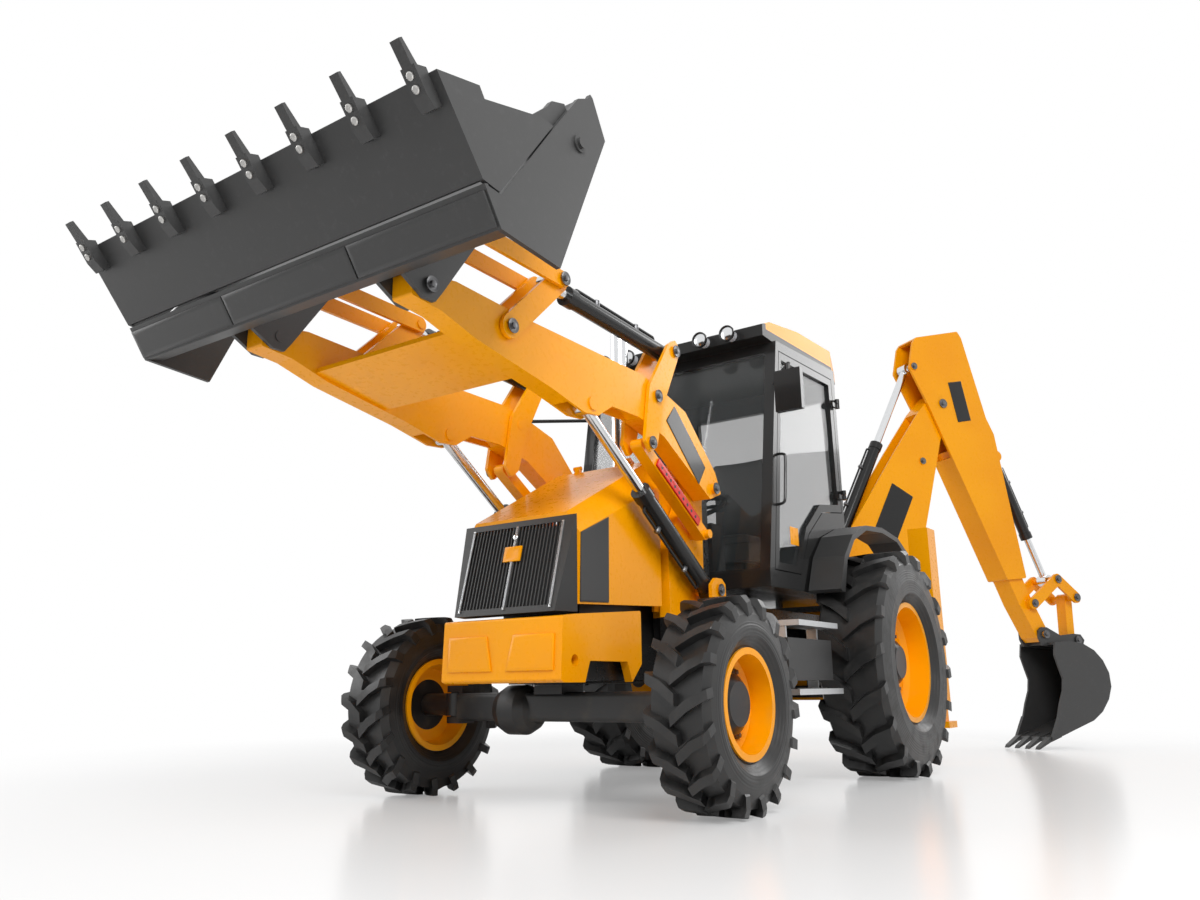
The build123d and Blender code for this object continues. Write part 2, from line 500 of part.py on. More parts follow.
def make_loader():
    low, high = ARM_X - ARM_HALF, ARM_X + ARM_HALF
    arm = plate(ARM_OUTLINE, low, high, 12)
    slot = [(-2790, 1700), (-2790, 2060), (-2400, 2060), (-2400, 1995), (-2300, 1995), (-2180, 1927), (-2180, 1700)]
    arm -= plate(slot, ARM_X - SLOT_HALF, ARM_X + SLOT_HALF)
    arm -= round_bar(ARM_PIVOT, LOADER_PIN + 5 + PIN_CLEARANCE, low, high)
    arm -= round_bar(BUCKET_PIVOT, LOADER_PIN + PIN_CLEARANCE, low, high)
    for pin in (LEVER_PIVOT, FRONT_LEVER_PIVOT):
        arm += round_bar(pin, LOADER_PIN, IN_CHEEK[0] - 4, OUT_CHEEK[1] + 8)
    arm += round_bar(LIFT_EYE, LOADER_PIN + 8, high, high + 8) + round_bar(LIFT_EYE, LOADER_PIN + 8, low - 8, low)
    arms = both_sides(arm)
    arms += plate(CROSS_PLATE, -low - 5, low + 5)
    NODES["loader_arms"] = arms

    bore = LOADER_PIN + PIN_CLEARANCE
    lever_outline = [(-1795, 2395), (-1850, 2445), (-1920, 2400), (-2125, 2110), (-2180, 1800), (-2125, 1742), (-2066, 1790), (-1985, 2040)]
    lever = cheeks(lambda a, b: plate(lever_outline, a, b, 20))
    lever -= round_bar(LEVER_PIVOT, bore, IN_CHEEK[0], OUT_CHEEK[1])
    lever += round_bar(LEVER_TOP, LOADER_PIN, IN_CHEEK[0], OUT_CHEEK[1] + 8)
    lever += round_bar(LEVER_FOOT, LOADER_PIN, OUT_CHEEK[0], OUT_CHEEK[1] + 8)
    NODES["rear_levers"] = both_sides(lever)

    link = strap([LINK_PIVOT, LEVER_FOOT], 32, ARM_X - SLOT_HALF + SIDE_GAP, ARM_X + SLOT_HALF - SIDE_GAP)
    link -= round_bar(LINK_PIVOT, bore, low, high)
    NODES["lower_links"] = both_sides(link)

    lift_barrel, lift_rod = ram(LIFT_BASE, LIFT_EYE, ARM_X, 48, 30, 820, 334, LOADER_PIN, 33)
    NODES["lift_barrels"] = both_sides(lift_barrel)
    NODES["lift_rods"] = both_sides(lift_rod)
    tilt_barrel, tilt_rod = ram(LEVER_TOP, FRONT_LEVER_TOP, ARM_X, 45, 28, 900, 830, LOADER_PIN, 26)
    NODES["tilt_barrels"] = both_sides(tilt_barrel)
    NODES["tilt_rods"] = both_sides(tilt_rod)

    front = cheeks(lambda a, b: strap([FRONT_LEVER_PIVOT, FRONT_LEVER_TOP], 55, a, b))
    front -= round_bar(FRONT_LEVER_PIVOT, bore, IN_CHEEK[0], OUT_CHEEK[1])
    front += round_bar(FRONT_LEVER_TOP, LOADER_PIN, OUT_CHEEK[0], OUT_LINK[1] + 8)
    front += round_bar(FRONT_LEVER_TOP, LOADER_PIN, IN_LINK[0] - 8, IN_CHEEK[1])
    NODES["front_levers"] = both_sides(front)
    links = strap([FRONT_LEVER_TOP, BUCKET_LINK_PIN], 40, *OUT_LINK) + strap([FRONT_LEVER_TOP, BUCKET_LINK_PIN], 40, *IN_LINK)
    links -= round_bar(FRONT_LEVER_TOP, bore, IN_LINK[0], OUT_LINK[1])
    NODES["tipping_links"] = both_sides(links)


BUCKET_EDGE = (-4280, 2540)
BUCKET_FOLD = (-4048, 2246)
BUCKET_TOE = (-3950, 2100)
BUCKET_HEEL = (-3620, 2074)
BUCKET_KNEE = (-3318, 2750)
BUCKET_TOP = (-3402, 2904)
BUCKET_PEAK = (-3502, 2850)
BACK_LOW = (-3875, 2115)    # the back plate, ahead of the arms' heads
BACK_HIGH = (-3499, 2738)
SEAM_LOW = (-3960, 2235)    # where the jaw's cheek meets the fixed side plate
SEAM_HIGH = (-3663, 2645)
JAW_TOP = [(-3725, 2649), (-4047, 2554), (-4074, 2593)]
JAW_ARM_X = (1073, 1095)    # the jaw's arms swing inside the side plates
JAW_PIN = 22
TEETH = 8
TOOTH_X = 1050


def moved(point, dy, dz):
    return (point[0] + dy, point[1] + dz)


def make_loader_bucket():
    half = BUCKET_HALF
    sheet = BUCKET_SHEET
    # back: toe strip, back plate, top lip and the rear of each side
    wall = plate([moved(BUCKET_FOLD, 8, -12), BUCKET_TOE, BACK_LOW, BACK_HIGH, BUCKET_TOP, moved(BUCKET_TOP, -17, 10),
                  moved(BACK_HIGH, -17, 10), moved(BACK_LOW, -12, 18), moved(BUCKET_TOE, 9, 22), moved(BUCKET_FOLD, 25, -7)], -half, half)
    wall -= both_sides(block((JAW_ARM_X[0] - SIDE_GAP, half - sheet), (-3700, -3300), (2540, 3000)))
    side = plate([moved(BUCKET_FOLD, 8, -12), BUCKET_TOE, BUCKET_HEEL, BUCKET_KNEE, BUCKET_TOP, BUCKET_PEAK, moved(SEAM_HIGH, 6, -4),
                  moved(SEAM_LOW, 6, -7)], half - sheet, half)
    back = wall + both_sides(side)
    ear_outline = [moved(BACK_LOW, -5, 8), moved(BUCKET_PIVOT, -30, -62), moved(BUCKET_PIVOT, 30, -62), moved(BUCKET_PIVOT, 62, -20),
                   moved(BUCKET_LINK_PIN, 58, -20), moved(BUCKET_LINK_PIN, 40, 45), moved(BUCKET_LINK_PIN, -10, 60), moved(BACK_HIGH, -90, -135)]
    ears = cheeks(lambda a, b: plate(ear_outline, a, b))
    ears += round_bar(BUCKET_PIVOT, LOADER_PIN, IN_CHEEK[0] - 4, OUT_CHEEK[1] + 8)
    back += both_sides(ears)
    back += both_sides(round_bar(JAW_PIVOT, JAW_PIN, JAW_ARM_X[0], half + sheet) + round_bar(JAW_PIVOT, JAW_PIN + 14, half - 1, half + 8))
    NODES["bucket_back"] = back
    front = plate([BUCKET_EDGE, moved(BUCKET_EDGE, 18, -13), moved(BUCKET_FOLD, 17, 6), BUCKET_FOLD], -half, half)
    cheek = plate([BUCKET_EDGE, BUCKET_FOLD, SEAM_LOW, SEAM_HIGH, *JAW_TOP], half - sheet, half)
    inner, outer = JAW_ARM_X
    arm = plate([(-3800, 2480), (-3790, 2625), (-3670, 2735), (-3640, 2775), (-3560, 2805), (-3500, 2700), moved(JAW_PIVOT, 30, 30), moved(JAW_PIVOT, 45, 0),
                 moved(JAW_PIVOT, 30, -34), moved(JAW_PIVOT, -10, -48)], inner, outer)
    arm += plate([(-3800, 2480), (-3790, 2620), (-3700, 2640), (-3680, 2620)], outer - 1, half - sheet + 1)
    arm -= round_bar(JAW_PIVOT, JAW_PIN + PIN_CLEARANCE, inner, outer)
    jaw = front + both_sides(cheek + arm)
    direction = (BUCKET_EDGE[0] - BUCKET_FOLD[0], BUCKET_EDGE[1] - BUCKET_FOLD[1])
    length = hypot(*direction)
    along = (direction[0] / length, direction[1] / length)

    def on_tooth(up, out):
        """A point beside a tooth: up past the bucket's edge, and out in front of the plate."""
        return (BUCKET_EDGE[0] + along[0] * up - along[1] * out, BUCKET_EDGE[1] + along[1] * up + along[0] * out)

    for tooth in range(TEETH):
        x = -TOOTH_X + tooth * 2 * TOOTH_X / (TEETH - 1)
        jaw += plate([on_tooth(-112, -2), on_tooth(-112, 38), on_tooth(-60, 52), on_tooth(40, 52), on_tooth(20, -2)], x - 32, x + 32)
        jaw += plate([on_tooth(-20, 12), on_tooth(-10, 50), on_tooth(128, 58), on_tooth(128, 42)], x - 22, x + 22)
    NODES["bucket_jaw"] = jaw


# ---- backhoe ----------------------------------------------------------------------------------
PARKED = Pos(Y=SWING_Y) * Rot(Z=-PARKED_SWING)
POST_PIN = 40
POST_LUG = 75
LUG_Z = ((470, 540), (1110, 1180))
CARRIAGE_HALF = 280
EAR_X = (55, 70)           # the ears that a cylinder's foot sits between
HOE_EAR_X = (98, 120)      # the bucket's ears
LEVER_X = (126, 148)       # the tipping lever's plates pass outside the dipper
STICK_DEPTH = (-105, 50)   # the sliding stick, across its own line
STICK_TOP = 1820           # from the bucket pin up to the stick's hidden end


def along_stick(up, across):
    """A point up the dipper's slide from the bucket pin, and across it towards the rear."""
    run = (HOE_BUCKET_PIVOT[0] - DIPPER_PIVOT[0], HOE_BUCKET_PIVOT[1] - DIPPER_PIVOT[1])
    length = hypot(*run)
    down = (run[0] / length, run[1] / length)
    return (HOE_BUCKET_PIVOT[0] - down[0] * up - down[1] * across, HOE_BUCKET_PIVOT[1] - down[1] * up + down[0] * across)


def make_backhoe():
    plate_y = (1100 + SEAT_GAP, 1160)
    carriage = block((-CARRIAGE_HALF, CARRIAGE_HALF), plate_y, (450, 1240))
    for low, high in LUG_Z:
        carriage += Pos(0, SWING_Y, (low + high) / 2) * Cylinder(POST_LUG, high - low)
        carriage += block((-POST_LUG, POST_LUG), (plate_y[1] - 5, SWING_Y), (low, high))
    carriage -= Pos(0, SWING_Y, 800) * Cylinder(POST_PIN + PIN_CLEARANCE, 1000)
    NODES["sideshift_carriage"] = carriage

    pin = HOE_PIN
    bore = HOE_PIN + PIN_CLEARANCE
    post_z = (LUG_Z[0][1] + SIDE_GAP, LUG_Z[1][0] - SIDE_GAP)
    post = Pos(0, 0, (post_z[0] + post_z[1]) / 2) * Cylinder(POST_LUG, post_z[1] - post_z[0])
    post += Pos(0, 0, 825) * Cylinder(POST_PIN, 700)
    ear = BOOM_HALF + 6
    post += both_sides(strap([(0, 720), BOOM_FOOT], 80, ear, ear + 30))
    post += block((-ear - 30, ear + 30), (-60, 90), (640, 800))
    post += block((-EAR_X[1], EAR_X[1]), (-40, 195), (820, 980))
    post += both_sides(strap([(150, 900), (150, 1100), BOOM_RAM_BASE], 45, *EAR_X))
    post += round_bar(BOOM_FOOT, pin, -ear - 38, ear + 38)
    post += round_bar(BOOM_RAM_BASE, pin, -EAR_X[1], EAR_X[1])
    NODES["swing_post"] = PARKED * post

    outline = [(170, 700), (180, 1080), (225, 1180), (225, 1250), (195, 1400), (266, 1854), (769, 2536), (1088, 2950), (1250, 3120), (1400, 3110), (1430, 2990),
               (1291, 2680), (1110, 2100), (1030, 1850), (850, 1450), (450, 720), (370, 630), (240, 610)]
    boom = plate(outline, -BOOM_HALF, BOOM_HALF, 20)
    hollow = [(100, 500), (0, 1300), (150, 1950), (690, 2620), (1000, 3000), (1110, 2880), (1180, 2700), (1255, 2650),
              (1086, 2107), (1007, 1860), (828, 1462), (435, 745), (420, 500)]
    boom -= plate(hollow, -BOOM_HALF + BOOM_PLATE, BOOM_HALF - BOOM_PLATE)
    boom -= plate([(1110, 2220), (1110, 2530), (1330, 2530), (1330, 2220)], -BOOM_HALF + BOOM_PLATE, BOOM_HALF - BOOM_PLATE)
    boom += both_sides(strap([(330, 1760), DIPPER_RAM_BASE], 55, BOOM_HALF - BOOM_PLATE, BOOM_HALF))
    boom += both_sides(round_bar(BOOM_RAM_EYE, pin + 10, BOOM_HALF, BOOM_HALF + 6))
    boom += round_bar(DIPPER_RAM_BASE, pin, -BOOM_HALF - 8, BOOM_HALF + 8)
    boom -= round_bar(BOOM_FOOT, bore, -BOOM_HALF, BOOM_HALF)
    boom -= round_bar(DIPPER_PIVOT, bore, -BOOM_HALF, BOOM_HALF)
    NODES["boom"] = PARKED * boom

    boom_barrel, boom_rod = ram(BOOM_RAM_BASE, BOOM_RAM_EYE, 0, 50, 30, 1290, 1080, pin, 50)
    NODES["boom_ram_barrel"] = PARKED * boom_barrel
    NODES["boom_ram_rod"] = PARKED * boom_rod
    dipper_barrel, dipper_rod = ram(DIPPER_RAM_BASE, DIPPER_RAM_EYE, 0, 50, 32, 980, 300, pin, 50)
    NODES["dipper_ram_barrel"] = PARKED * dipper_barrel
    NODES["dipper_ram_rod"] = PARKED * dipper_rod

    outline = [(1060, 3586), (1100, 3640), (1590, 3760), (1630, 3700), (1823, 2939), (1895, 2790), (2084, 1472), (1865, 1453), (1180, 2990), (1000, 3340)]
    dipper = plate(outline, -DIPPER_HALF, DIPPER_HALF, 20)
    inside = DIPPER_HALF - DIPPER_PLATE
    front = STICK_DEPTH[0] - SIDE_GAP
    hollow = [(900, 3300), (1030, 3640), (1110, 3610), (1560, 3720), (1600, 3680), (1795, 2925), (1850, 2810), (1850, 2710), (2000, 2690),
              (2200, 1300), along_stick(350, front), along_stick(1760, front), along_stick(1760, 3 * front), (1000, 2900)]
    dipper -= plate(hollow, -inside, inside)
    pad = SIDE_GAP - SEAT_GAP
    low, high = STICK_DEPTH
    grip = [along_stick(560, low), along_stick(560, high), along_stick(660, high), along_stick(660, low)]
    dipper += both_sides(plate(grip, inside - pad, inside + 1))
    dipper += plate([along_stick(560, front - 1), along_stick(560, front + pad), along_stick(660, front + pad), along_stick(660, front - 1)], -60, 60)
    dipper += round_bar(DIPPER_PIVOT, pin, -DIPPER_HALF - 8, DIPPER_HALF + 8)
    dipper += both_sides(round_bar(DIPPER_RAM_EYE, pin + 10, DIPPER_HALF, DIPPER_HALF + 8))
    NODES["dipper"] = PARKED * dipper

    half = inside - SIDE_GAP
    stick = plate([along_stick(STICK_TOP, low), along_stick(STICK_TOP, high), along_stick(330, high), along_stick(0, 72),
                   along_stick(-50, 50), along_stick(-65, 0), along_stick(-50, -50), along_stick(0, -72), along_stick(330, low)], -half, half)
    stick += both_sides(plate([along_stick(1790, high - 10), along_stick(1650, 400), BUCKET_RAM_BASE, along_stick(1380, high - 10)], *EAR_X))
    guide = [along_stick(1710, low + 10), along_stick(1710, high - 10), along_stick(1800, high - 10), along_stick(1800, low + 10)]
    stick += both_sides(plate(guide, half - 1, half + pad))
    stick += both_sides(round_bar(BUCKET_RAM_BASE, 48, *EAR_X))
    stick += round_bar(BUCKET_RAM_BASE, pin, -EAR_X[1], EAR_X[1])
    stick += round_bar(HOE_LEVER_PIVOT, pin + 25, -LEVER_X[0] + SIDE_GAP, LEVER_X[0] - SIDE_GAP)
    stick += round_bar(HOE_LEVER_PIVOT, pin, -LEVER_X[1] - 8, LEVER_X[1] + 8)
    stick += round_bar(HOE_BUCKET_PIVOT, pin, -LEVER_X[1] + 10, LEVER_X[1] - 10)
    NODES["dipper_extension"] = PARKED * stick

    lever = strap([HOE_LEVER_PIVOT, HOE_LEVER_RAM, HOE_LEVER_TIP], 50, *LEVER_X)
    lever -= round_bar(HOE_LEVER_PIVOT, bore, *LEVER_X)
    lever += round_bar(HOE_LEVER_RAM, pin, 60, LEVER_X[1] + 8) + round_bar(HOE_LEVER_TIP, pin, 60, LEVER_X[1] + 8)
    NODES["hoe_lever"] = PARKED * both_sides(lever)
    link = strap([HOE_LEVER_TIP, HOE_BUCKET_LINK], 42, -50, 50)
    link -= round_bar(HOE_BUCKET_LINK, bore, -60, 60)
    NODES["hoe_link"] = PARKED * link
    bucket_barrel, bucket_rod = ram(BUCKET_RAM_BASE, HOE_LEVER_RAM, 0, 48, 30, 810, 440, pin, 50)
    NODES["bucket_ram_barrel"] = PARKED * bucket_barrel
    NODES["bucket_ram_rod"] = PARKED * bucket_rod

    half = HOE_BUCKET_HALF
    outer = [(2060, 80), (2210, 117), (2360, 165), (2577, 233), (2693, 305), (2787, 411), (2835, 519), (2830, 639), (2775, 749), (2685, 837),
             (2562, 895), (2422, 915), (2235, 905), (2215, 792), (2238, 717), (2280, 589), (2263, 493), (2208, 378), (2168, 269)]
    bucket = plate(outer, -half, half)
    bucket -= Pos(X=18 - half) * extrude(grown(outer, -18), amount=2 * half - 36, dir=(1, 0, 0))
    bucket -= plate([(1950, 90), (2100, 108), (2300, 300), (2320, 600), (2280, 700), (2260, 885), (1950, 885)], 18 - half, half - 18)
    bucket += both_sides(plate([(2168, 269), (2200, 262), (2110, 92), (2060, 80)], half - 1, half + 12))
    for tooth in range(HOE_TEETH):
        x = (half - 30) * (2 * tooth / (HOE_TEETH - 1) - 1)
        bucket += plate([(1925, 8), (1940, 32), (2062, 106), (2180, 140), (2190, 105), (2050, 62)], x - 26, x + 26)
    ear_plate = plate([(2180, 880), (2150, 940), (2150, 1010), (2190, 1040), (2250, 1040), (2400, 970), (2560, 985), (2640, 980), (2680, 930), (2640, 850)],
                      *HOE_EAR_X)
    bucket += both_sides(ear_plate)
    bucket -= round_bar(HOE_BUCKET_PIVOT, bore, -half, half)
    bucket += round_bar(HOE_BUCKET_LINK, pin, -HOE_EAR_X[1] - 8, HOE_EAR_X[1] + 8)
    NODES["hoe_bucket"] = PARKED * bucket


make_wheels()
make_axles()
make_chassis()
make_nose()
make_cab()
make_loader()
make_loader_bucket()
make_backhoe()

# the row's origin: on the ground, under the middle of the parked machine
boxes = [shape.bounding_box() for shape in NODES.values()]
ORIGIN = ((min(box.min.X for box in boxes) + max(box.max.X for box in boxes)) / 2,
          (min(box.min.Y for box in boxes) + max(box.max.Y for box in boxes)) / 2)
os.makedirs("parts", exist_ok=True)
for name, shape in NODES.items():
    export_step(Pos(-ORIGIN[0], -ORIGIN[1], 0) * shape, "parts/" + name + ".step")
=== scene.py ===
# %% [markdown]
# # A backhoe loader, dressed for the studio
# The machine itself comes from a CAD model: frames, axles, arms, cylinders and panels already stand at
# their real size. This lesson gives every surface its finish, and models the small pieces that the CAD
# model leaves out: pin ends, wheel nuts, pipes, lamp bezels, trim, plates and the seat's cushions.
# Everything is in metres. The ground is z = 0, the machine faces -Y and its left side is +X.

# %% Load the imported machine
import math

import bpy
from mathutils import Matrix, Vector


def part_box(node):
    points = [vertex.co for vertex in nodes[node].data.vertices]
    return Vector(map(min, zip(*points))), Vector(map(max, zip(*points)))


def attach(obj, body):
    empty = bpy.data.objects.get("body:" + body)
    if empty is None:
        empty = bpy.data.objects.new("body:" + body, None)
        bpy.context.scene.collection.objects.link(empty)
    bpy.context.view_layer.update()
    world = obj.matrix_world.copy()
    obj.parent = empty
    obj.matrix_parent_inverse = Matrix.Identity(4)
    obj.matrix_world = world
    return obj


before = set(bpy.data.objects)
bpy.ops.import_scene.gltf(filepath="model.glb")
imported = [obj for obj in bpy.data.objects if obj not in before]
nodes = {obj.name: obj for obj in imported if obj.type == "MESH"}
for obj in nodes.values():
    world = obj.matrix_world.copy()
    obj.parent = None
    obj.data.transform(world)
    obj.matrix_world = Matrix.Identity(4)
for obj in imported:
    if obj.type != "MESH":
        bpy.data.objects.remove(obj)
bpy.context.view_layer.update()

# %% [markdown]
# The CAD origin lies under the middle of the whole machine, backhoe included. It is easier to think
# from the rear axle, so every place below is given from the point on the ground under that axle's
# middle. The two rear tyres say where it is.

# %% The machine's own origin
left_low, left_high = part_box("rear_left_tyre")
right_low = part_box("rear_right_tyre")[0]
MACHINE = Vector(((left_high.x + right_low.x) / 2, (left_low.y + left_high.y) / 2, 0))


def at(x, y, z):
    """A place given from the ground under the rear axle."""
    return MACHINE + Vector((x, y, z))


print("rear axle stands at", tuple(round(side, 3) for side in MACHINE))

# %% [markdown]
# ## Writing materials as sums
# Blender's materials are graphs of nodes. A graph that makes dust or wear is mostly arithmetic, and
# arithmetic is easier to read as a sum than as boxes. So a socket is wrapped in a small class whose
# operators add Math nodes: `grain * 0.2 + 0.4` then builds two of them.

# %% A socket with operators, and a finish that holds one material


class Value:
    """An output socket of a finish. Sums on it add Math nodes."""

    def __init__(self, finish, socket):
        self.finish = finish
        self.socket = socket

    def math(self, operation, first, second):
        return self.finish.math(operation, first, second)

    def __add__(self, other):
        return self.math("ADD", self, other)

    __radd__ = __add__

    def __sub__(self, other):
        return self.math("SUBTRACT", self, other)

    def __rsub__(self, other):
        return self.math("SUBTRACT", other, self)

    def __mul__(self, other):
        return self.math("MULTIPLY", self, other)

    __rmul__ = __mul__

    def within(self, low, high):
        """0 below low, 1 above high, and a smooth step between them."""
        settings = {"interpolation_type": "SMOOTHSTEP", "clamp": True}
        inputs = {"Value": self, "From Min": low, "From Max": high}
        return self.finish.add("MapRange", settings, inputs)


class Finish:
    """A material. Constants go straight onto its shader; what varies is added as nodes."""

    def __init__(self, name, **constants):
        self.material = bpy.data.materials.new(name)
        self.material.use_nodes = True
        self.tree = self.material.node_tree
        self.shader = self.tree.nodes["Principled BSDF"]
        for socket, value in constants.items():
            self.shader.inputs[socket.replace("_", " ")].default_value = value

    def add(self, kind, settings=(), inputs=(), output=0):
        """Any node: its kind, its settings, and the values or links of its sockets."""
        node = self.tree.nodes.new("ShaderNode" + kind)
        for name, value in dict(settings).items():
            setattr(node, name, value)
        for name, value in dict(inputs).items():
            self.feed(node.inputs[name], value)
        return Value(self, node.outputs[output])

    def feed(self, socket, value):
        if isinstance(value, Value):
            self.tree.links.new(value.socket, socket)
        else:
            socket.default_value = value

    def set(self, socket, value):
        self.feed(self.shader.inputs[socket], value)

    def math(self, operation, first, second=0.0):
        return self.add("Math", {"operation": operation}, {0: first, 1: second})

    def place(self):
        """Object coordinates, in metres."""
        return self.add("TexCoord", output="Object")

    def along(self, axis):
        """How far a point lies along X, Y or Z, from the machine's own origin."""
        part = self.add("SeparateXYZ", (), {"Vector": self.place()}, axis)
        return part - MACHINE["XYZ".index(axis)]

    def from_axle(self, y, z):
        """How far a point lies from an axle that runs along X."""
        across = self.along("Y") - y
        up = self.along("Z") - z
        return self.math("SQRT", across * across + up * up)

    def noise(self, scale, detail=3.0, roughness=0.5):
        inputs = {"Vector": self.place(), "Scale": scale, "Detail": detail, "Roughness": roughness}
        return self.add("TexNoise", (), inputs, "Fac")

    def blend(self, factor, first, second):
        """A colour between two colours. Mix keeps the colour, where a Math node would turn it grey."""
        return self.add("Mix", {"data_type": "RGBA"}, {0: factor, 6: first, 7: second}, 2)

    def bump(self, height, distance, strength=1.0):
        inputs = {"Height": height, "Distance": distance, "Strength": strength}
        return self.add("Bump", (), inputs)


def grey(level):
    return (level, level, level, 1.0)


# %% [markdown]
# ## The gloss paint
# The panels wear a thick gloss paint over steel: a warm colour, a clear sharp reflection from a coat on
# top, and a faint orange-peel ripple that only shows in highlights. Fine dust settles low down, so the
# colour dulls a little towards the ground. Some parts are painted in two colours, split at a height, a
# side or a radius.

# %% Gloss paint, in one colour or two
AMBER = (0.98, 0.395, 0.0, 1.0)
AMBER_DEEP = (0.92, 0.345, 0.0, 1.0)
DUST = (0.34, 0.24, 0.13, 1.0)
INK = (0.014, 0.014, 0.015, 1.0)
FRONT_AXLE = (-2.2, 0.485)  # y, z
REAR_AXLE = (0.0, 0.7)
HUB_RADIUS = 0.137
TOWER_BACK = -1.345  # the towers and the cowl stand ahead of this y,
TOWER_FOOT = 0.93  # and above this z
COLUMN_SIDE = 0.835  # the stabiliser columns stand further out than this,
COLUMN_FRONT = 0.99  # and behind this y
VISOR_BACK = -0.952  # ahead of this y, the roof's black visor is deeper
VISOR_TOP = 2.752
VISOR_DEEPER = 0.034
EDGE_OF_PAINT = 0.002  # one colour runs into the other over this width


def gloss(name, base, roughness, coat):
    """Gloss paint over a colour: orange peel, and a little dust near the ground."""
    paint = Finish(name, Coat_Roughness=0.07, Coat_IOR=1.4, IOR=1.4, Specular_IOR_Level=0.3)
    paint.set("Coat Weight", coat)
    low = 1 - paint.along("Z").within(0.1, 1.0)
    dust = low * paint.noise(9.0, 5.0).within(0.5, 0.85) * 0.2
    paint.set("Base Color", paint.blend(dust, base(paint), DUST))
    paint.set("Roughness", dust * 0.4 + paint.noise(40.0, 2.0) * 0.06 + roughness)
    paint.set("Normal", paint.bump(paint.noise(190.0, 1.0), 0.00005, 0.3))
    return paint.material


def amber_tone(paint):
    """Amber that drifts a little deeper in soft patches."""
    return paint.blend(paint.noise(1.3, 2.0).within(0.3, 0.7), AMBER, AMBER_DEEP)


def black_tone(paint):
    """Black that drifts in the same way."""
    return paint.blend(paint.noise(1.3, 2.0).within(0.3, 0.7), grey(0.010), grey(0.017))


def frame_tone(paint):
    """The chassis is black, with amber towers, cowl and stabiliser columns."""
    ahead = 1 - paint.along("Y").within(TOWER_BACK, TOWER_BACK + 0.005)
    towers = ahead * paint.along("Z").within(TOWER_FOOT, TOWER_FOOT + EDGE_OF_PAINT)
    side = paint.math("ABSOLUTE", paint.along("X"))
    behind = paint.along("Y").within(COLUMN_FRONT, COLUMN_FRONT + EDGE_OF_PAINT)
    columns = side.within(COLUMN_SIDE, COLUMN_SIDE + EDGE_OF_PAINT) * behind
    amber_here = paint.math("MAXIMUM", towers, columns)
    return paint.blend(amber_here, black_tone(paint), amber_tone(paint))


def roof_tone(paint):
    """An amber cap over a black visor, which is deeper in front, round the lamps."""
    front = 1 - paint.along("Y").within(VISOR_BACK, VISOR_BACK + EDGE_OF_PAINT)
    edge = front * VISOR_DEEPER + VISOR_TOP
    above = paint.math("GREATER_THAN", paint.along("Z"), edge)
    return paint.blend(above, black_tone(paint), amber_tone(paint))


def rim_tone(y, z):
    """Amber rims on an axle, with a dark hub in the middle."""
    def tone(paint):
        outside = paint.from_axle(y, z).within(HUB_RADIUS, HUB_RADIUS + 0.001)
        return paint.blend(outside, INK, amber_tone(paint))
    return tone


amber = gloss("amber_paint", amber_tone, 0.25, 0.16)
frame_paint = gloss("frame_paint", frame_tone, 0.25, 0.16)
roof_paint = gloss("roof_paint", roof_tone, 0.3, 0.1)
front_rim = gloss("front_rim_paint", rim_tone(*FRONT_AXLE), 0.28, 0.16)
rear_rim = gloss("rear_rim_paint", rim_tone(*REAR_AXLE), 0.28, 0.16)
print("finish", amber.name, frame_paint.name, roof_paint.name)

# %% [markdown]
# ## Dark finishes
# The buckets, the cab's pillars and the mudguards are nearly black, but not alike: bucket steel has a
# satin paint that scratches, the cab's frame the gloss paint in black, and the mudguards a moulded
# plastic with a fine grain. Axles and engine are rough castings.

# %% Black paint, bucket paint, moulded plastic and cast iron
black = gloss("black_paint", black_tone, 0.22, 0.4)


def satin_steel():
    """Bucket paint: dark satin with fine scuffs that catch the light."""
    paint = Finish("bucket_paint", IOR=1.5)
    scuff = paint.noise(26.0, 8.0, 0.7).within(0.52, 0.78)
    cloud = paint.noise(2.2, 3.0)
    paint.set("Base Color", paint.blend(scuff * 0.5, grey(0.040), grey(0.075)))
    paint.set("Roughness", cloud * 0.16 + scuff * 0.12 + 0.32)
    paint.set("Normal", paint.bump(paint.noise(70.0, 4.0), 0.0004, 0.35))
    return paint.material


def moulded_plastic():
    """Mudguard plastic: a leathery grain and a soft sheen."""
    plastic = Finish("moulded_plastic", IOR=1.47)
    grain = plastic.add("TexVoronoi", (), {"Vector": plastic.place(), "Scale": 420.0}, "Distance")
    cloud = plastic.noise(3.0, 3.0)
    plastic.set("Base Color", plastic.blend(cloud, grey(0.020), grey(0.032)))
    plastic.set("Roughness", cloud * 0.12 + 0.38)
    plastic.set("Normal", plastic.bump(grain, 0.0003, 0.3))
    return plastic.material


def cast_iron():
    """Axles and engine: rough black castings with a dusty bloom."""
    iron = Finish("cast_iron", IOR=1.5, Metallic=0.0)
    bloom = iron.noise(7.0, 6.0).within(0.45, 0.75)
    iron.set("Base Color", iron.blend(bloom, grey(0.014), (0.045, 0.040, 0.034, 1.0)))
    iron.set("Roughness", bloom * 0.25 + 0.42)
    iron.set("Normal", iron.bump(iron.noise(120.0, 5.0), 0.0008, 0.5))
    return iron.material


bucket_paint = satin_steel()
plastic = moulded_plastic()
iron = cast_iron()
print("dark finishes", bucket_paint.name, plastic.name, iron.name)

# %% [markdown]
# ## Rubber
# Tyre rubber is nearly black, with brown-grey dust in patches that dulls it. Its flanks carry fine
# moulded rings, which are only pressed into the surface as a bump.

# %% Tyre rubber


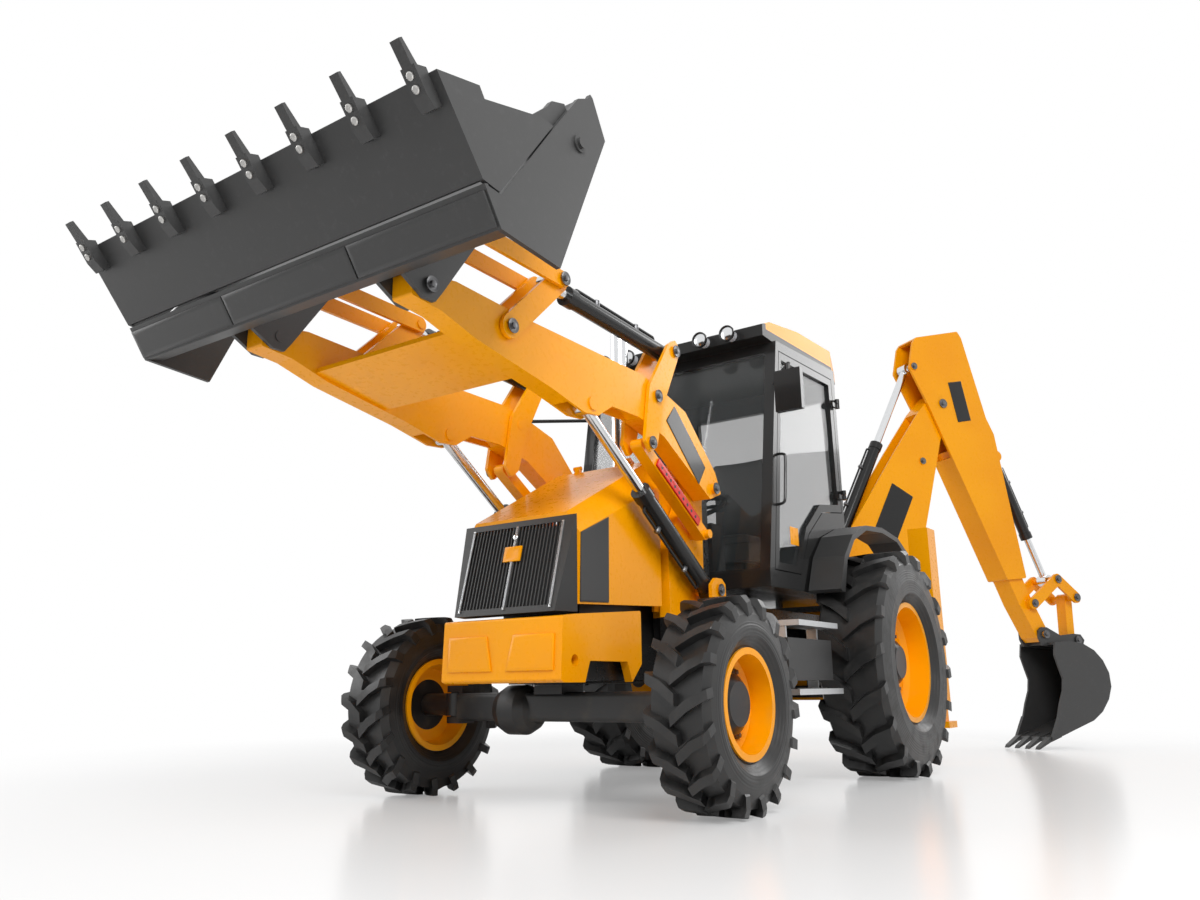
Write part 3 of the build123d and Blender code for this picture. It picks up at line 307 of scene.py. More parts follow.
def tyre_rubber(name, y, z, tread):
    """Rubber for the tyres of one axle. The rings sit on the flanks, inside the tread."""
    tyre = Finish(name, IOR=1.5)
    dust = tyre.noise(11.0, 6.0, 0.6).within(0.42, 0.8)
    reach = tyre.from_axle(y, z)
    rings = tyre.math("SINE", reach * 420.0) * (1 - reach.within(tread - 0.09, tread - 0.07))
    tyre.set("Base Color", tyre.blend(dust * 0.4, grey(0.012), (0.040, 0.037, 0.034, 1.0)))
    tyre.set("Roughness", dust * 0.25 + 0.36)
    tyre.set("Normal", tyre.bump(rings * 0.6 + tyre.noise(160.0, 4.0) * 0.5, 0.0012, 0.5))
    return tyre.material


front_rubber = tyre_rubber("front_rubber", *FRONT_AXLE, 0.445)
rear_rubber = tyre_rubber("rear_rubber", *REAR_AXLE, 0.66)

# %% [markdown]
# ## Bare metal
# The cylinders' rods are ground and hard-chromed and the exhaust is chromed too, so they mirror the
# room. Bolts and pin ends are plainer steel and the steps are aluminium, and both are rougher.

# %% Chrome and steel


def bare_metal(name, colour, low_roughness, smear_scale):
    """Metal without paint: smears make it a little darker and rougher in places."""
    metal = Finish(name, Metallic=1.0)
    smear = metal.noise(smear_scale, 4.0)
    darker = (*(0.86 * part for part in colour[:3]), 1.0)
    metal.set("Base Color", metal.blend(smear, colour, darker))
    metal.set("Roughness", smear * 0.12 + low_roughness)
    return metal.material


chrome = bare_metal("chromed_rod", (0.78, 0.79, 0.80, 1.0), 0.08, 30.0)
steel = bare_metal("pin_steel", (0.58, 0.57, 0.55, 1.0), 0.26, 60.0)
aluminium = bare_metal("step_aluminium", (0.66, 0.67, 0.68, 1.0), 0.34, 45.0)
dark_steel = bare_metal("dark_steel", (0.16, 0.16, 0.165, 1.0), 0.34, 50.0)

# %% [markdown]
# ## Glass
# The cab's panes are tinted safety glass, mostly clear. Their alpha is low, so the cab's inside shows
# through, and a smooth coat over a dark tint gives them their reflections.

# %% Tinted panes


def tinted_glass(name, tint, clear):
    """Glass of a tint. Clear says how much of what lies behind shows through."""
    pane = Finish(name, Roughness=0.02, IOR=1.45, Metallic=0.0)
    pane.set("Base Color", tint)
    pane.set("Alpha", 1.0 - clear)
    pane.set("Coat Weight", 1.0)
    pane.material.surface_render_method = "BLENDED"
    return pane.material


glass = tinted_glass("cab_pane", (0.030, 0.036, 0.037, 1.0), 0.76)
lens = tinted_glass("lamp_lens", (0.62, 0.63, 0.66, 1.0), 0.25)

# %% [markdown]
# ## Dressing the CAD nodes
# Each node takes one finish. A node's mesh is never changed here: only the material in its slot is.

# %% One finish for each node
FINISHES = {
    amber: "bonnet boom dipper dipper_extension nose_casting loader_arms rear_levers front_levers "
           "lower_links tipping_links sideshift_carriage swing_post hoe_lever hoe_link "
           "stabiliser_left stabiliser_right",
    frame_paint: "chassis_frame",
    roof_paint: "cab_roof",
    front_rim: "front_left_rim front_right_rim",
    rear_rim: "rear_left_rim rear_right_rim",
    black: "cab_frame door_left door_right lift_barrels tilt_barrels boom_ram_barrel dipper_ram_barrel "
           "bucket_ram_barrel mirrors",
    bucket_paint: "bucket_back bucket_jaw hoe_bucket",
    plastic: "rear_fenders grille side_tanks cab_interior",
    iron: "engine_block front_axle rear_axle knuckle_left knuckle_right",
    front_rubber: "front_left_tyre front_right_tyre",
    rear_rubber: "rear_left_tyre rear_right_tyre",
    chrome: "lift_rods tilt_rods boom_ram_rod dipper_ram_rod bucket_ram_rod exhaust",
    aluminium: "side_steps",
    glass: "cab_glass door_left_glass door_right_glass",
    lens: "lamps",
}
for finish, names in FINISHES.items():
    for name in names.split():
        mesh = nodes[name].data
        mesh.materials.clear()
        mesh.materials.append(finish)
print("dressed", sum(len(names.split()) for names in FINISHES.values()), "of", len(nodes), "nodes")

# %% [markdown]
# ## Working on new pieces
# A new piece starts as a primitive of the right size in the right place. Operators act on whatever is
# selected, so everything is deselected first. The piece's place then goes into its mesh, which leaves
# its object at the origin. Faces are picked in code by the way they look, and at the end the piece is
# told which body carries it.

# %% Helpers for modelling
LEFT = Vector((1, 0, 0))
FORWARD = Vector((0, -1, 0))
UP = Vector((0, 0, 1))
SWING_PIN = 1.36  # this far behind the rear axle
HOE_TURN = math.radians(33)
HOE_OUT = Vector((math.sin(HOE_TURN), math.cos(HOE_TURN), 0))
HOE_SIDE = Vector((math.cos(HOE_TURN), -math.sin(HOE_TURN), 0))


def hoe(out, up, side=0.0):
    """A place on the backhoe: out from its swing pin, up from the ground, and to its side."""
    return at(0, SWING_PIN, up) + HOE_OUT * out + HOE_SIDE * side


def only(piece):
    """Leave one object selected and active."""
    bpy.ops.object.select_all(action="DESELECT")
    piece.select_set(True)
    bpy.context.view_layer.objects.active = piece


def placed():
    """Put the new primitive's place and turn into its mesh."""
    piece = bpy.context.object
    only(piece)
    bpy.ops.object.transform_apply(location=True, rotation=True, scale=True)
    return piece


def pick(piece, outward):
    """Go into edit mode with the faces selected that look outward."""
    bpy.ops.object.mode_set(mode="EDIT")
    bpy.ops.mesh.select_mode(type="FACE")
    bpy.ops.mesh.select_all(action="DESELECT")
    bpy.ops.object.mode_set(mode="OBJECT")
    for face in piece.data.polygons:
        face.select = face.normal.dot(outward) > 0.9
    bpy.ops.object.mode_set(mode="EDIT")


def bevel(piece, width):
    """Round a piece's edges off, as the last step of its shape."""
    modifier = piece.modifiers.new("soft edges", "BEVEL")
    modifier.width = width
    modifier.segments = 2
    only(piece)
    bpy.ops.object.modifier_apply(modifier=modifier.name)


PIECES = []


def finished(piece, name, body, finish):
    """Name a piece, smooth it, and give it a finish and the body that it rides on."""
    only(piece)
    bpy.ops.object.shade_smooth_by_angle(angle=math.radians(35))
    piece.name = name
    piece.data.materials.clear()
    piece.data.materials.append(finish)
    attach(piece, body)
    PIECES.append(piece)
    return piece


def again(piece, name, body, move):
    """Another of the same piece, with a mesh of its own, moved by a matrix or a vector."""
    copy = piece.copy()
    copy.data = piece.data.copy()
    bpy.context.collection.objects.link(copy)
    copy.data.transform(move if isinstance(move, Matrix) else Matrix.Translation(move))
    if isinstance(move, Matrix) and move.determinant() < 0:
        copy.data.flip_normals()
    copy.name = name
    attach(copy, body)
    PIECES.append(copy)
    return copy


def box(low, high):
    """A block between two corners, as a primitive put in place."""
    size = high - low
    bpy.ops.object.select_all(action="DESELECT")
    bpy.ops.mesh.primitive_cube_add(size=1, location=(low + high) / 2, scale=size)
    return placed()


def disc(place, outward, radius, depth, sides=32):
    """A short cylinder that stands on a place and points outward."""
    turn = outward.to_track_quat("Z", "Y").to_euler()
    bpy.ops.object.select_all(action="DESELECT")
    bpy.ops.mesh.primitive_cylinder_add(vertices=sides, radius=radius, depth=depth,
                                        location=place + outward * depth / 2, rotation=turn)
    return placed()


def slab(name, body, corners, thickness, outward, finish, soft=0.002, raised=0.0):
    """A thin plate: a plane moved to four corners, given its thickness, and framed by an inset."""
    bpy.ops.object.select_all(action="DESELECT")
    bpy.ops.mesh.primitive_plane_add(size=1, location=(0, 0, 0))
    plate = placed()
    for vertex, corner in zip((0, 1, 3, 2), corners):
        plate.data.vertices[vertex].co = corner
    plate.data.update()
    if plate.data.polygons[0].normal.dot(outward) < 0:
        plate.data.flip_normals()
    pick(plate, outward)
    bpy.ops.mesh.extrude_region_move(TRANSFORM_OT_translate={"value": outward * thickness})
    bpy.ops.mesh.inset(thickness=thickness * 2)
    bpy.ops.transform.translate(value=outward * raised)
    bpy.ops.mesh.select_all(action="SELECT")
    bpy.ops.mesh.normals_make_consistent(inside=False)
    bpy.ops.object.mode_set(mode="OBJECT")
    bevel(plate, soft)
    return finished(plate, name, body, finish)


def rectangle(left, right, bottom, top):
    """Four pairs that go round a rectangle, for a slab's corners."""
    return (left, bottom), (right, bottom), (right, top), (left, top)


def face_way(along, towards):
    """Square to a face that runs sideways and along a direction, on the side of another direction."""
    square = along.cross(LEFT)
    return square if square.dot(towards) > 0 else -square


# A mirror image across the machine's middle.
OTHER_SIDE = Matrix.Translation(MACHINE) @ Matrix.Scale(-1, 4, LEFT) @ Matrix.Translation(-MACHINE)

# %% [markdown]
# ## Pin ends
# Every joint of the arms turns on a pin. Outside, a pin shows as a round retaining disc with a bolt in
# its middle. One function models a disc, dishes it by insetting its face and pushing the face in, then
# raises the bolt's head, and every joint in the lists gets one on each side.

# %% Pin ends on the loader and the backhoe


def pin_end(name, body, place, outward, radius):
    """A dished retaining disc with a bolt's head in its middle."""
    cap = disc(place, outward, radius, 0.007)
    pick(cap, outward)
    bpy.ops.mesh.inset(thickness=radius * 0.2)
    bpy.ops.transform.translate(value=outward * -0.003)
    bpy.ops.mesh.inset(thickness=radius * 0.38)
    bpy.ops.mesh.extrude_region_move(TRANSFORM_OT_translate={"value": outward * 0.010})
    bpy.ops.object.mode_set(mode="OBJECT")
    bevel(cap, 0.0012)
    return finished(cap, name, body, dark_steel)


LOADER_PINS = [  # name, body, x of the pin's end, y, z
    ("arm_pivot", "chassis", 0.550, -1.434, 1.666),
    ("lift_base", "chassis", 0.563, -1.449, 1.085),
    ("lever_pivot", "loader_arms", 0.563, -2.053, 2.067),
    ("lever_top", "rear_levers", 0.563, -1.854, 2.374),
    ("lever_foot", "rear_levers", 0.563, -2.122, 1.798),
    ("front_pivot", "loader_arms", 0.563, -3.240, 2.097),
    ("front_top", "front_levers", 0.588, -2.897, 2.433),
    ("bucket_pivot", "loader_bucket", 0.563, -3.730, 2.120),
]
for name, body, x, y, z in LOADER_PINS:
    cap = pin_end("pin_" + name + "_left", body, at(x, y, z), LEFT, 0.034)
    again(cap, "pin_" + name + "_right", body, OTHER_SIDE)
HOE_PINS = [  # name, body, out, up, half width there, radius
    ("boom_foot", "swing_post", 0.280, 0.720, 0.134, 0.045),
    ("boom_ram", "boom", 1.072, 2.483, 0.096, 0.030),
    ("dipper_pivot", "dipper", 1.333, 3.031, 0.128, 0.042),
    ("dipper_ram_base", "boom", 0.200, 1.760, 0.098, 0.036),
    ("dipper_ram_eye", "dipper", 1.047, 3.356, 0.128, 0.032),
    ("hoe_lever", "dipper_extension", 2.114, 1.248, 0.156, 0.036),
    ("hoe_lever_ram", "hoe_lever", 2.420, 1.470, 0.156, 0.036),
    ("hoe_lever_tip", "hoe_lever", 2.620, 1.310, 0.156, 0.036),
    ("hoe_bucket", "dipper_extension", 2.218, 0.978, 0.138, 0.036),
    ("hoe_bucket_link", "hoe_bucket", 2.600, 0.930, 0.128, 0.036),
]
for name, body, out, up, half, radius in HOE_PINS:
    for label, side in (("near", 1), ("far", -1)):
        pin_end("pin_" + name + "_" + label, body, hoe(out, up, side * half), HOE_SIDE * side, radius)
print("pin ends", len(PIECES))

# %% [markdown]
# ## Wheel nuts
# Ten studs hold each rim. A nut is a six-sided cylinder with its edges softened, and a shorter round
# stud stands out of it. The first nut is copied round the hub.

# %% Wheel nuts


def wheel_nut(name, place, body):
    """A nut with the end of its stud."""
    nut = disc(place, LEFT, 0.019, 0.020, 6)
    pick(nut, LEFT)
    bpy.ops.mesh.inset(thickness=0.006)
    bpy.ops.mesh.extrude_region_move(TRANSFORM_OT_translate={"value": LEFT * 0.012})
    bpy.ops.object.mode_set(mode="OBJECT")
    bevel(nut, 0.0015)
    return finished(nut, name, body, dark_steel)


NUTS = 10
NUT_RINGS = [  # wheel, x of the rim's face, axle, the ring's radius
    ("front", 0.950, FRONT_AXLE, 0.175),
    ("rear", 0.965, REAR_AXLE, 0.205),
]
for wheel, face_x, (y, z), radius in NUT_RINGS:
    first = wheel_nut(wheel + "_left_nut_0", at(face_x, y, z + radius), wheel + "_left_wheel")
    middle = Matrix.Translation(at(0, y, z))
    for turn in range(NUTS):
        round_hub = middle @ Matrix.Rotation(math.tau * turn / NUTS, 4, "X") @ middle.inverted()
        nut = "_nut_" + str(turn)
        if turn:
            again(first, wheel + "_left" + nut, wheel + "_left_wheel", round_hub)
        opposite = OTHER_SIDE @ round_hub
        again(first, wheel + "_right" + nut, wheel + "_right_wheel", opposite)

# %% [markdown]
# ## The grille's trim
# The grille carries three upright bright strips, and a dark panel takes it round onto each of the
# bonnet's sides. In its middle stands a blank amber badge with a small dome above it.

# %% Grille strips, side panels and blank badge
FACE_LOW = at(0, -2.644, 0.918)
FACE_HIGH = at(0, -2.522, 1.392)
FACE_UP = (FACE_HIGH - FACE_LOW).normalized()
FACE_OUT = face_way(FACE_UP, FORWARD)


def on_face(x, up):
    """A place on the grille's sloping face."""
    return FACE_LOW + LEFT * x + FACE_UP * up


STRIPS = [  # name, x of its two edges
    ("left", 0.285, 0.297),
    ("right", -0.297, -0.285),
    ("middle", -0.006, 0.006),
]
for label, low_x, high_x in STRIPS:
    corners = [on_face(x, up) for x, up in rectangle(low_x, high_x, 0.02, 0.46)]
    slab("grille_strip_" + label, "bonnet", corners, 0.006, FACE_OUT, aluminium, 0.001)
badge = [on_face(x, up) for x, up in rectangle(-0.055, 0.055, 0.27, 0.35)]
slab("grille_badge", "bonnet", badge, 0.010, FACE_OUT, amber, 0.002, -0.002)
dome = disc(on_face(0, 0.40), FACE_OUT, 0.016, 0.008)
pick(dome, FACE_OUT)
bpy.ops.mesh.inset(thickness=0.006)
bpy.ops.transform.translate(value=FACE_OUT * 0.006)
bpy.ops.object.mode_set(mode="OBJECT")
bevel(dome, 0.002)
finished(dome, "grille_dome", "bonnet", chrome)
wrap = [at(0.3725, -2.514, 0.965), at(0.376, -2.28, 0.975),
        at(0.3822, -2.28, 1.405), at(0.381, -2.514, 1.300)]
panel = slab("grille_wrap_left", "bonnet", wrap, 0.006, LEFT, plastic, 0.002, -0.002)
again(panel, "grille_wrap_right", "bonnet", OTHER_SIDE)

# %% [markdown]
# ## Cylinder pipes
# Each cylinder is fed at both ends. The oil to its rod end runs in a thin pipe along the barrel, held
# off it by two round saddles. The pipe is a smooth curve with a round section, turned into a mesh.

# %% Pipes and saddles on the cylinders
PIPE_RADIUS = 0.009


def pipe(name, body, points):
    """A black pipe along a row of points, which its bends round off."""
    bpy.ops.object.select_all(action="DESELECT")
    bpy.ops.curve.primitive_nurbs_path_add(location=(0, 0, 0))
    curve = bpy.context.object
    spline = curve.data.splines[0]
    spline.points.add(len(points) - len(spline.points))
    for point, place in zip(spline.points, points):
        point.co = (*place, 1)
    spline.order_u = 3
    spline.use_endpoint_u = True
    spline.resolution_u = 6
    curve.data.bevel_depth = PIPE_RADIUS
    curve.data.bevel_resolution = 2
    curve.data.use_fill_caps = True
    only(curve)
    bpy.ops.object.convert(target="MESH")
    return finished(bpy.context.object, name, body, black)


def barrel_pipe(name, body, base, eye, axis, barrel_radius, start, end):
    """A pipe along a barrel, from a port near its base to its gland, square to its pin's axis."""
    along = (eye - base).normalized()
    side = axis.cross(along)
    near = barrel_radius * 0.9
    far = barrel_radius + 0.020
    way = [(start, near), (start, far), (start + 0.03, far), (start * 0.5 + end * 0.5, far),
           (end - 0.03, far), (end, far), (end, near)]
    pipe(name, body, [base + along * reach + side * off for reach, off in way])
    for label, share in (("low", 0.25), ("high", 0.75)):
        middle = base + along * (start + (end - start) * share)
        saddle = disc(middle + side * (barrel_radius - 0.002), side, 0.017, 0.032, 12)
        pick(saddle, side)
        bpy.ops.mesh.inset(thickness=0.006)
        bpy.ops.mesh.extrude_region_move(TRANSFORM_OT_translate={"value": side * 0.004})
        bpy.ops.object.mode_set(mode="OBJECT")
        bevel(saddle, 0.0015)
        finished(saddle, name + "_saddle_" + label, body, dark_steel)


for label, x in (("left", 0.475), ("right", -0.475)):
    lift = at(x, -1.449, 1.085), at(x, -2.610, 1.900)
    barrel_pipe("lift_pipe_" + label, "lift_barrels", *lift, LEFT, 0.048, 0.10, 0.74)
    tilt = at(x, -1.854, 2.374), at(x, -2.897, 2.433)
    barrel_pipe("tilt_pipe_" + label, "tilt_barrels", *tilt, -LEFT, 0.045, 0.10, 0.82)
HOE_RAMS = [  # name, base, eye, the pipe's end, the barrel's radius, and 1 or -1 for the pipe's side
    ("boom_ram", hoe(0.120, 1.250), hoe(1.072, 2.483), 1.20, 0.050, -1),
    ("dipper_ram", hoe(0.200, 1.760), hoe(1.047, 3.356), 0.89, 0.050, 1),
    ("bucket_ram", hoe(1.957, 2.602), hoe(2.420, 1.470), 0.72, 0.048, 1),
]
for name, base, eye, end, radius, sign in HOE_RAMS:
    axis = HOE_SIDE * sign
    barrel_pipe(name + "_pipe", name + "_barrel", base, eye, axis, radius, 0.12, end)

# %% [markdown]
# ## Lamps, mirrors and handles
# Four round work lamps look forward under the roof, and two look back. Each has a dark bezel round a
# bright dome. Each mirror has its glass behind, towards the driver, and each door a pull handle.

# %% Lamp bezels, mirror glasses and door handles


def bezel(name, place, outward, radius):
    """A lamp's dark ring with its face pushed in, and a domed lens standing in it."""
    ring = disc(place, outward, radius, 0.020, 40)
    pick(ring, outward)
    bpy.ops.mesh.inset(thickness=radius * 0.16)
    bpy.ops.mesh.extrude_region_move(TRANSFORM_OT_translate={"value": outward * -0.012})
    bpy.ops.object.mode_set(mode="OBJECT")
    bevel(ring, 0.002)
    finished(ring, name, "chassis", black)
    dome = disc(place + outward * 0.009, outward, radius * 0.82, 0.004, 40)
    pick(dome, outward)
    bpy.ops.mesh.inset(thickness=radius * 0.3)
    bpy.ops.transform.translate(value=outward * 0.005)
    bpy.ops.mesh.inset(thickness=radius * 0.25)
    bpy.ops.transform.translate(value=outward * 0.002)
    bpy.ops.object.mode_set(mode="OBJECT")
    finished(dome, name + "_lens", "chassis", chrome)


for number, x in enumerate((-0.476, -0.279, 0.279, 0.476)):
    bezel("front_lamp_" + str(number), at(x, -1.062, 2.737), FORWARD, 0.052)
for label, sign in (("left", 1), ("right", -1)):
    bezel("rear_lamp_" + label, at(0.44 * sign, 0.402, 2.785), -FORWARD, 0.048)
    low, high = sorted((0.935 * sign, 1.065 * sign))
    corners = [at(x, -1.334, z) for x, z in rectangle(low, high, 2.085, 2.295)]
    slab("mirror_glass_" + label, "chassis", corners, 0.003, -FORWARD, chrome, 0.0008)
GRIP = [  # how far the handle stands off the door, z
    (0.0, 1.62), (0.040, 1.62), (0.045, 1.66), (0.045, 1.78), (0.045, 1.90), (0.040, 1.94), (0.0, 1.94),
]
grip = [at(0.720 + reach, -0.951 + (z - 1.80) * 0.15, z) for reach, z in GRIP]
handle = pipe("door_handle_left", "door_left", grip)
again(handle, "door_handle_right", "door_right", OTHER_SIDE)

# %% [markdown]
# ## Tooth bolts
# Each of the bucket's teeth is held by two bolts with bright round heads.

# %% Tooth bolts
TEETH = 8
TOOTH_PITCH = 0.3
FIRST_TOOTH = -1.05
TOOTH_DEPTH = 0.052  # from the bucket's edge out to a tooth's face
EDGE = at(0, -4.280, 2.540)
TOOTH_UP = Vector((0, -0.6195, 0.785))
TOOTH_OUT = Vector((0, -0.785, -0.6195))


def tooth_bolt(name, x, up):
    """A round bolt head on a tooth, so far across the bucket and up from its edge."""
    foot = EDGE + LEFT * x + TOOTH_UP * up + TOOTH_OUT * TOOTH_DEPTH
    head = disc(foot, TOOTH_OUT, 0.015, 0.006, 24)
    pick(head, TOOTH_OUT)
    bpy.ops.mesh.inset(thickness=0.004)
    bpy.ops.transform.translate(value=TOOTH_OUT * 0.003)
    bpy.ops.object.mode_set(mode="OBJECT")
    return finished(head, name, "bucket_jaw", steel)


bolts = [
    tooth_bolt("tooth_bolt_0_0", FIRST_TOOTH, -0.035),
    tooth_bolt("tooth_bolt_0_1", FIRST_TOOTH, 0.010),
]
for tooth in range(1, TEETH):
    for row, bolt in enumerate(bolts):
        name = "tooth_bolt_" + str(tooth) + "_" + str(row)
        again(bolt, name, "bucket_jaw", LEFT * tooth * TOOTH_PITCH)

# %% [markdown]
# ## Blank plates and the safety strut
# The near arm, the boom and the dipper each carry a plain black plate, and the near door an amber one.
# All are left bare. A red strut hangs along the near lower link, ready to be set round the cylinder's
# rod when the arms have to be held up.

# %% Blank plates
ARM_FACE = 0.5302
BOOM_FACE = 0.0902
DIPPER_FACE = 0.1202
on_arm = [(-1.52, 1.775), (-1.84, 2.065), (-1.93, 1.965), (-1.60, 1.665)]
corners = [at(ARM_FACE, y, z) for y, z in on_arm]
slab("arm_plate", "loader_arms", corners, 0.003, LEFT, black, 0.0006)
on_boom = [(0.45, 1.76), (0.72, 2.26), (0.93, 2.15), (0.66, 1.65)]
corners = [hoe(out, up, BOOM_FACE) for out, up in on_boom]
slab("boom_plate", "boom", corners, 0.003, HOE_SIDE, black, 0.0006)
on_dipper = [(1.42, 3.24), (1.57, 3.27), (1.64, 2.90), (1.49, 2.87)]
corners = [hoe(out, up, DIPPER_FACE) for out, up in on_dipper]
slab("dipper_plate", "dipper", corners, 0.003, HOE_SIDE, black, 0.0006)
corners = [at(0.7052, -0.800, 1.400), at(0.7074, -0.690, 1.400),
           at(0.7074, -0.690, 1.510), at(0.7052, -0.800, 1.510)]
slab("door_plate", "door_left", corners, 0.003, LEFT, amber, 0.0006)

# %% [markdown]
# The strut is a red bar whose face is pushed in a little, with a row of black discs that paint the
# shade of its holes.

# %% Safety strut
LINK_FOOT = at(0.5115, -1.503, 1.397)
LINK_HEAD = at(0.5115, -2.122, 1.798)
link_way = (LINK_HEAD - LINK_FOOT).normalized()
link_up = face_way(link_way, UP)
red = gloss("red_paint", lambda paint: (0.62, 0.018, 0.012, 1.0), 0.3, 0.3)
strut = [
    LINK_FOOT + link_way * along + link_up * up
    for along, up in rectangle(0.10, 0.60, -0.024, 0.024)
]
slab("safety_strut", "lower_links", strut, 0.010, LEFT, red, 0.0015, -0.003)
# The holes are painted shade: each is a thin black disc on the strut's face, and nothing is cut
# through.
HOLE_SHADES = 9
for number in range(HOLE_SHADES):
    foot = LINK_FOOT + link_way * (0.15 + number * 0.05) + LEFT * 0.007
    hole_shade = disc(foot, LEFT, 0.009, 0.0012, 20)
    finished(hole_shade, "strut_hole_shade_" + str(number), "lower_links", black)

# %% [markdown]
# ## Wear plates, nose relief and step treads
# The bucket's heel wears three replaceable plates. The nose is a casting, so its front carries two
# raised fields with soft edges. The lower step on each side has a ribbed black tread.

# %% Wear plates
HEEL_TOP = at(0, -4.048, 2.246)
HEEL_WAY = (at(0, -3.950, 2.100) - HEEL_TOP).normalized()
HEEL_OUT = face_way(HEEL_WAY, FORWARD)
WEAR_PLATES = [(-1.110, -0.404), (-0.396, 0.396), (0.404, 1.110)]  # x of each one's two ends
for number, (low_x, high_x) in enumerate(WEAR_PLATES):
    name = "wear_plate_" + str(number)
    places = rectangle(low_x, high_x, 0.035, 0.165)
    corners = [HEEL_TOP + LEFT * x + HEEL_WAY * down for x, down in places]
    slab(name, "loader_bucket", corners, 0.010, HEEL_OUT, bucket_paint, 0.002)

# %% Raised fields on the nose
NOSE_LOW = at(0, -2.6665, 0.615)
NOSE_UP = (at(0, -2.6535, 0.880) - NOSE_LOW).normalized()
NOSE_OUT = face_way(NOSE_UP, FORWARD)
on_nose = [(0.045, 0.03), (0.335, 0.03), (0.335, 0.20), (0.085, 0.20)]
for label, sign in (("left", 1), ("right", -1)):
    corners = [NOSE_LOW + LEFT * side * sign + NOSE_UP * up for side, up in on_nose]
    slab("nose_field_" + label, "chassis", corners, 0.009, NOSE_OUT, amber, 0.004)

# %% Step treads
RIBS = 6
RIB_PITCH = 0.030
for label, sign in (("left", 1), ("right", -1)):
    for rib in range(RIBS):
        low, high = sorted(((0.825 + rib * RIB_PITCH) * sign, (0.840 + rib * RIB_PITCH) * sign))
        tread = box(at(low, -1.46, 0.5449), at(high, -0.90, 0.5500))
        bevel(tread, 0.001)
        finished(tread, "step_tread_" + label + "_" + str(rib), "chassis", black)

# %% [markdown]
# ## The seat
# The seat's pan and back carry leather cushions. Each is a block cut into a grid whose points are moved
# in code: its face is crowned, its sides are pulled in between the corners, and two channels are
# pressed along it. A subdivision surface then rounds it all.

# %% Seat cushions
CHANNELS = (-0.33, 0.33)  # as a share of a cushion's half length
CHANNEL_WIDTH = 0.09
CHANNEL_DEPTH = 0.010
PULLED_IN = 0.010


def leather():
    """Dark hide: uneven in colour and gloss, with a fine grain."""
    hide = Finish("seat_leather", IOR=1.45)
    hide.set("Base Color", hide.blend(hide.noise(30.0, 3.0), grey(0.022), grey(0.040)))
    hide.set("Roughness", hide.noise(60.0, 3.0) * 0.2 + 0.42)
    hide.set("Normal", hide.bump(hide.noise(420.0, 2.0), 0.0004, 0.5))
    return hide.material


def cushion(name, low, high, outward, crown, finish):
    """A padded block between two corners. Its outward face is crowned and channelled."""
    pad = box(low, high)
    bpy.ops.object.mode_set(mode="EDIT")
    bpy.ops.mesh.select_all(action="SELECT")
    bpy.ops.mesh.subdivide(number_cuts=9)
    bpy.ops.object.mode_set(mode="OBJECT")
    middle = (low + high) / 2
    half = (high - low) / 2
    top = max(range(3), key=lambda axis: abs(outward[axis]))
    wide, long = [axis for axis in range(3) if axis != top]
    for vertex in pad.data.vertices:
        share = [(vertex.co[axis] - middle[axis]) / half[axis] for axis in range(3)]
        rise = max(0, share[top] * (1 if outward[top] > 0 else -1))
        swell = (1 - share[wide] ** 4) * (1 - share[long] ** 4)
        channel = sum(math.exp(-((share[long] - place) / CHANNEL_WIDTH) ** 2) for place in CHANNELS)
        vertex.co += outward * rise * (crown * swell - CHANNEL_DEPTH * channel * swell)
        for axis, other in ((wide, long), (long, wide)):
            vertex.co[axis] -= share[axis] ** 3 * (1 - share[other] ** 2) * PULLED_IN
    modifier = pad.modifiers.new("rounding", "SUBSURF")
    modifier.levels = modifier.render_levels = 2
    only(pad)
    bpy.ops.object.modifier_apply(modifier=modifier.name)
    finished(pad, name, "chassis", finish)


hide = leather()
cushion("seat_cushion", at(-0.238, -0.432, 1.500), at(0.238, -0.022, 1.552), UP, 0.030, hide)
cushion("seat_back_cushion", at(-0.228, -0.036, 1.590), at(0.228, 0.020, 2.160), FORWARD, 0.028, hide)
print("new pieces", len(PIECES))

# %% [markdown]
# ## The studio
# A pale floor that runs off into white, a large soft key lamp above and in front of the machine on its
# left, a weaker one on its right to fill the shadows, and one from behind for the edges. The camera
# stands low, ahead of the left front wheel, looking slightly up.

# %% Floor


def pale_floor():
    """A glossy white floor. What is seen of it runs to pure white away from the machine."""
    floor = Finish("studio_floor", Roughness=0.2, IOR=1.4)
    floor.set("Base Color", grey(0.86))
    glow = floor.add("Emission", (), {"Color": grey(1.0), "Strength": 1.0})
    ray = floor.add("LightPath", (), (), "Is Camera Ray")
    x, y = floor.along("X"), floor.along("Y")
    away = floor.math("SQRT", x * x + y * y)
    share = away.within(3.0, 7.5) * 0.75 + 0.25
    gloss_white = Value(floor, floor.shader.outputs[0])
    mixed = floor.add("MixShader", (), {0: ray * share, 1: gloss_white, 2: glow})
    floor.tree.links.new(mixed.socket, floor.tree.nodes["Material Output"].inputs["Surface"])
    return floor.material


bpy.ops.object.select_all(action="DESELECT")
bpy.ops.mesh.primitive_plane_add(size=60, location=at(0, 0, 0))
floor = bpy.context.object
floor.name = "studio_floor"
floor.data.materials.append(pale_floor())

# %% Lamps and sky


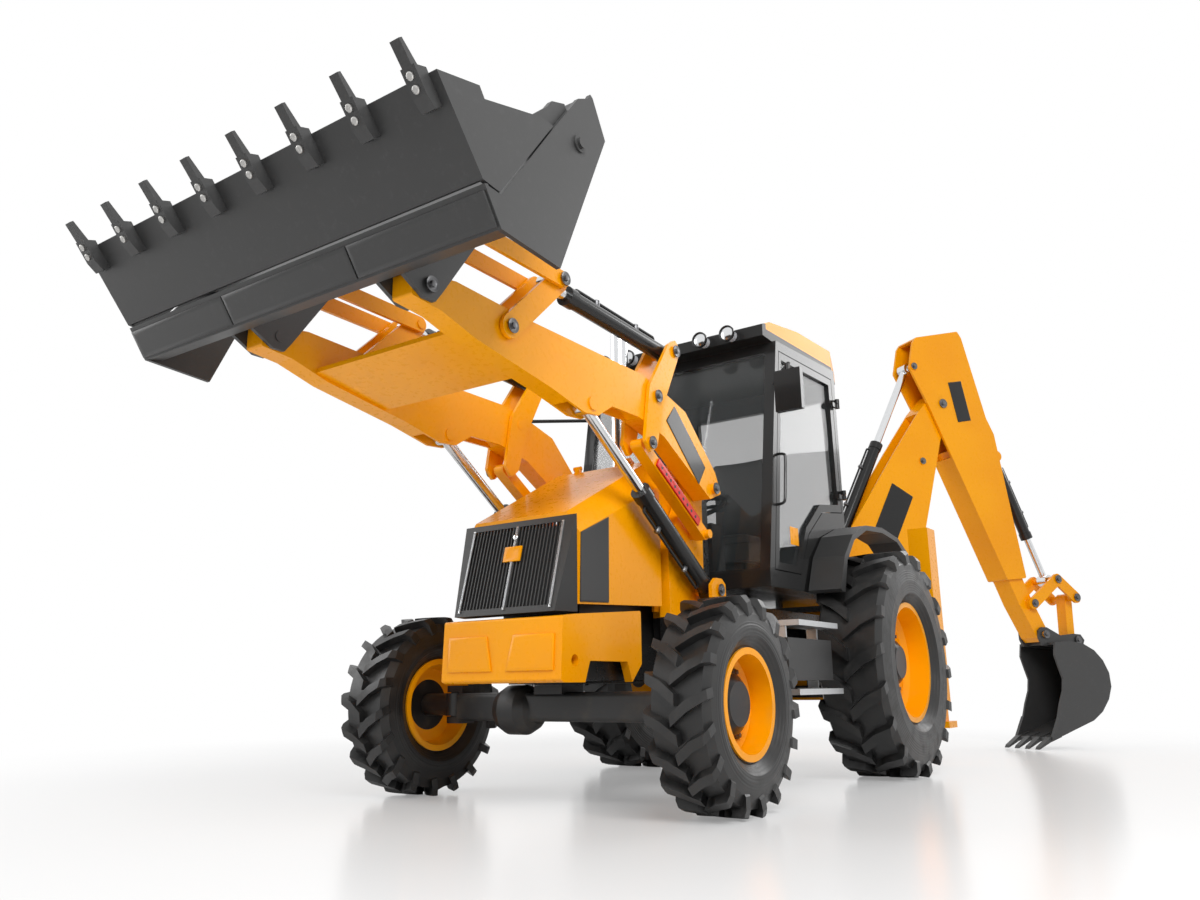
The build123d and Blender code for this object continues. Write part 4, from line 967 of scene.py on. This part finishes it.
def area_lamp(name, place, aim, size, power):
    """A soft rectangular lamp at a place, turned towards its aim."""
    bpy.ops.object.light_add(type="AREA", location=place)
    lamp = bpy.context.object
    lamp.name = name
    lamp.data.shape = "RECTANGLE"
    lamp.data.size, lamp.data.size_y = size
    lamp.data.energy = power
    lamp.rotation_euler = (aim - place).to_track_quat("-Z", "Y").to_euler()


MIDDLE = at(0, -1.2, 1.3)
area_lamp("key_lamp", at(5.5, -6.5, 6.5), MIDDLE, (5, 4), 640)
area_lamp("fill_lamp", at(-7, -5, 4), MIDDLE, (6, 5), 220)
area_lamp("rim_lamp", at(3, 7.5, 6), MIDDLE, (7, 4), 300)


def studio_sky():
    """White to the camera and in reflections; a softer grey as a light."""
    world = bpy.data.worlds.new("studio_sky")
    bpy.context.scene.world = world
    world.use_nodes = True
    tree = world.node_tree
    path = tree.nodes.new("ShaderNodeLightPath")
    seen = path.outputs["Is Camera Ray"]
    for ray in ("Is Glossy Ray", "Is Transmission Ray"):
        either = tree.nodes.new("ShaderNodeMath")
        either.operation = "MAXIMUM"
        tree.links.new(seen, either.inputs[0])
        tree.links.new(path.outputs[ray], either.inputs[1])
        seen = either.outputs[0]
    strength = tree.nodes.new("ShaderNodeMapRange")
    strength.inputs["To Min"].default_value = 0.38
    strength.inputs["To Max"].default_value = 1.0
    tree.links.new(seen, strength.inputs["Value"])
    tree.links.new(strength.outputs[0], tree.nodes["Background"].inputs["Strength"])
    tree.nodes["Background"].inputs["Color"].default_value = (1, 1, 1, 1)


studio_sky()

# %% Camera
CAMERA_PLACE = at(3.139, -6.226, 0.564)
AZIMUTH = math.radians(35.374)
PITCH = math.radians(13.898)
ROLL = math.radians(-0.726)
LENS = 28.83

bpy.ops.object.camera_add(location=CAMERA_PLACE)
camera = bpy.context.object
camera.data.lens = LENS
camera.data.sensor_width = 36.0
level = math.cos(PITCH)
aim = Vector((-math.sin(AZIMUTH) * level, math.cos(AZIMUTH) * level, math.sin(PITCH)))
roll = Matrix.Rotation(ROLL, 3, "Z").to_quaternion()
camera.rotation_mode = "QUATERNION"
camera.rotation_quaternion = aim.to_track_quat("-Z", "Y") @ roll
camera.data.clip_end = 200
bpy.context.scene.camera = camera
bpy.context.scene.view_settings.view_transform = "Standard"
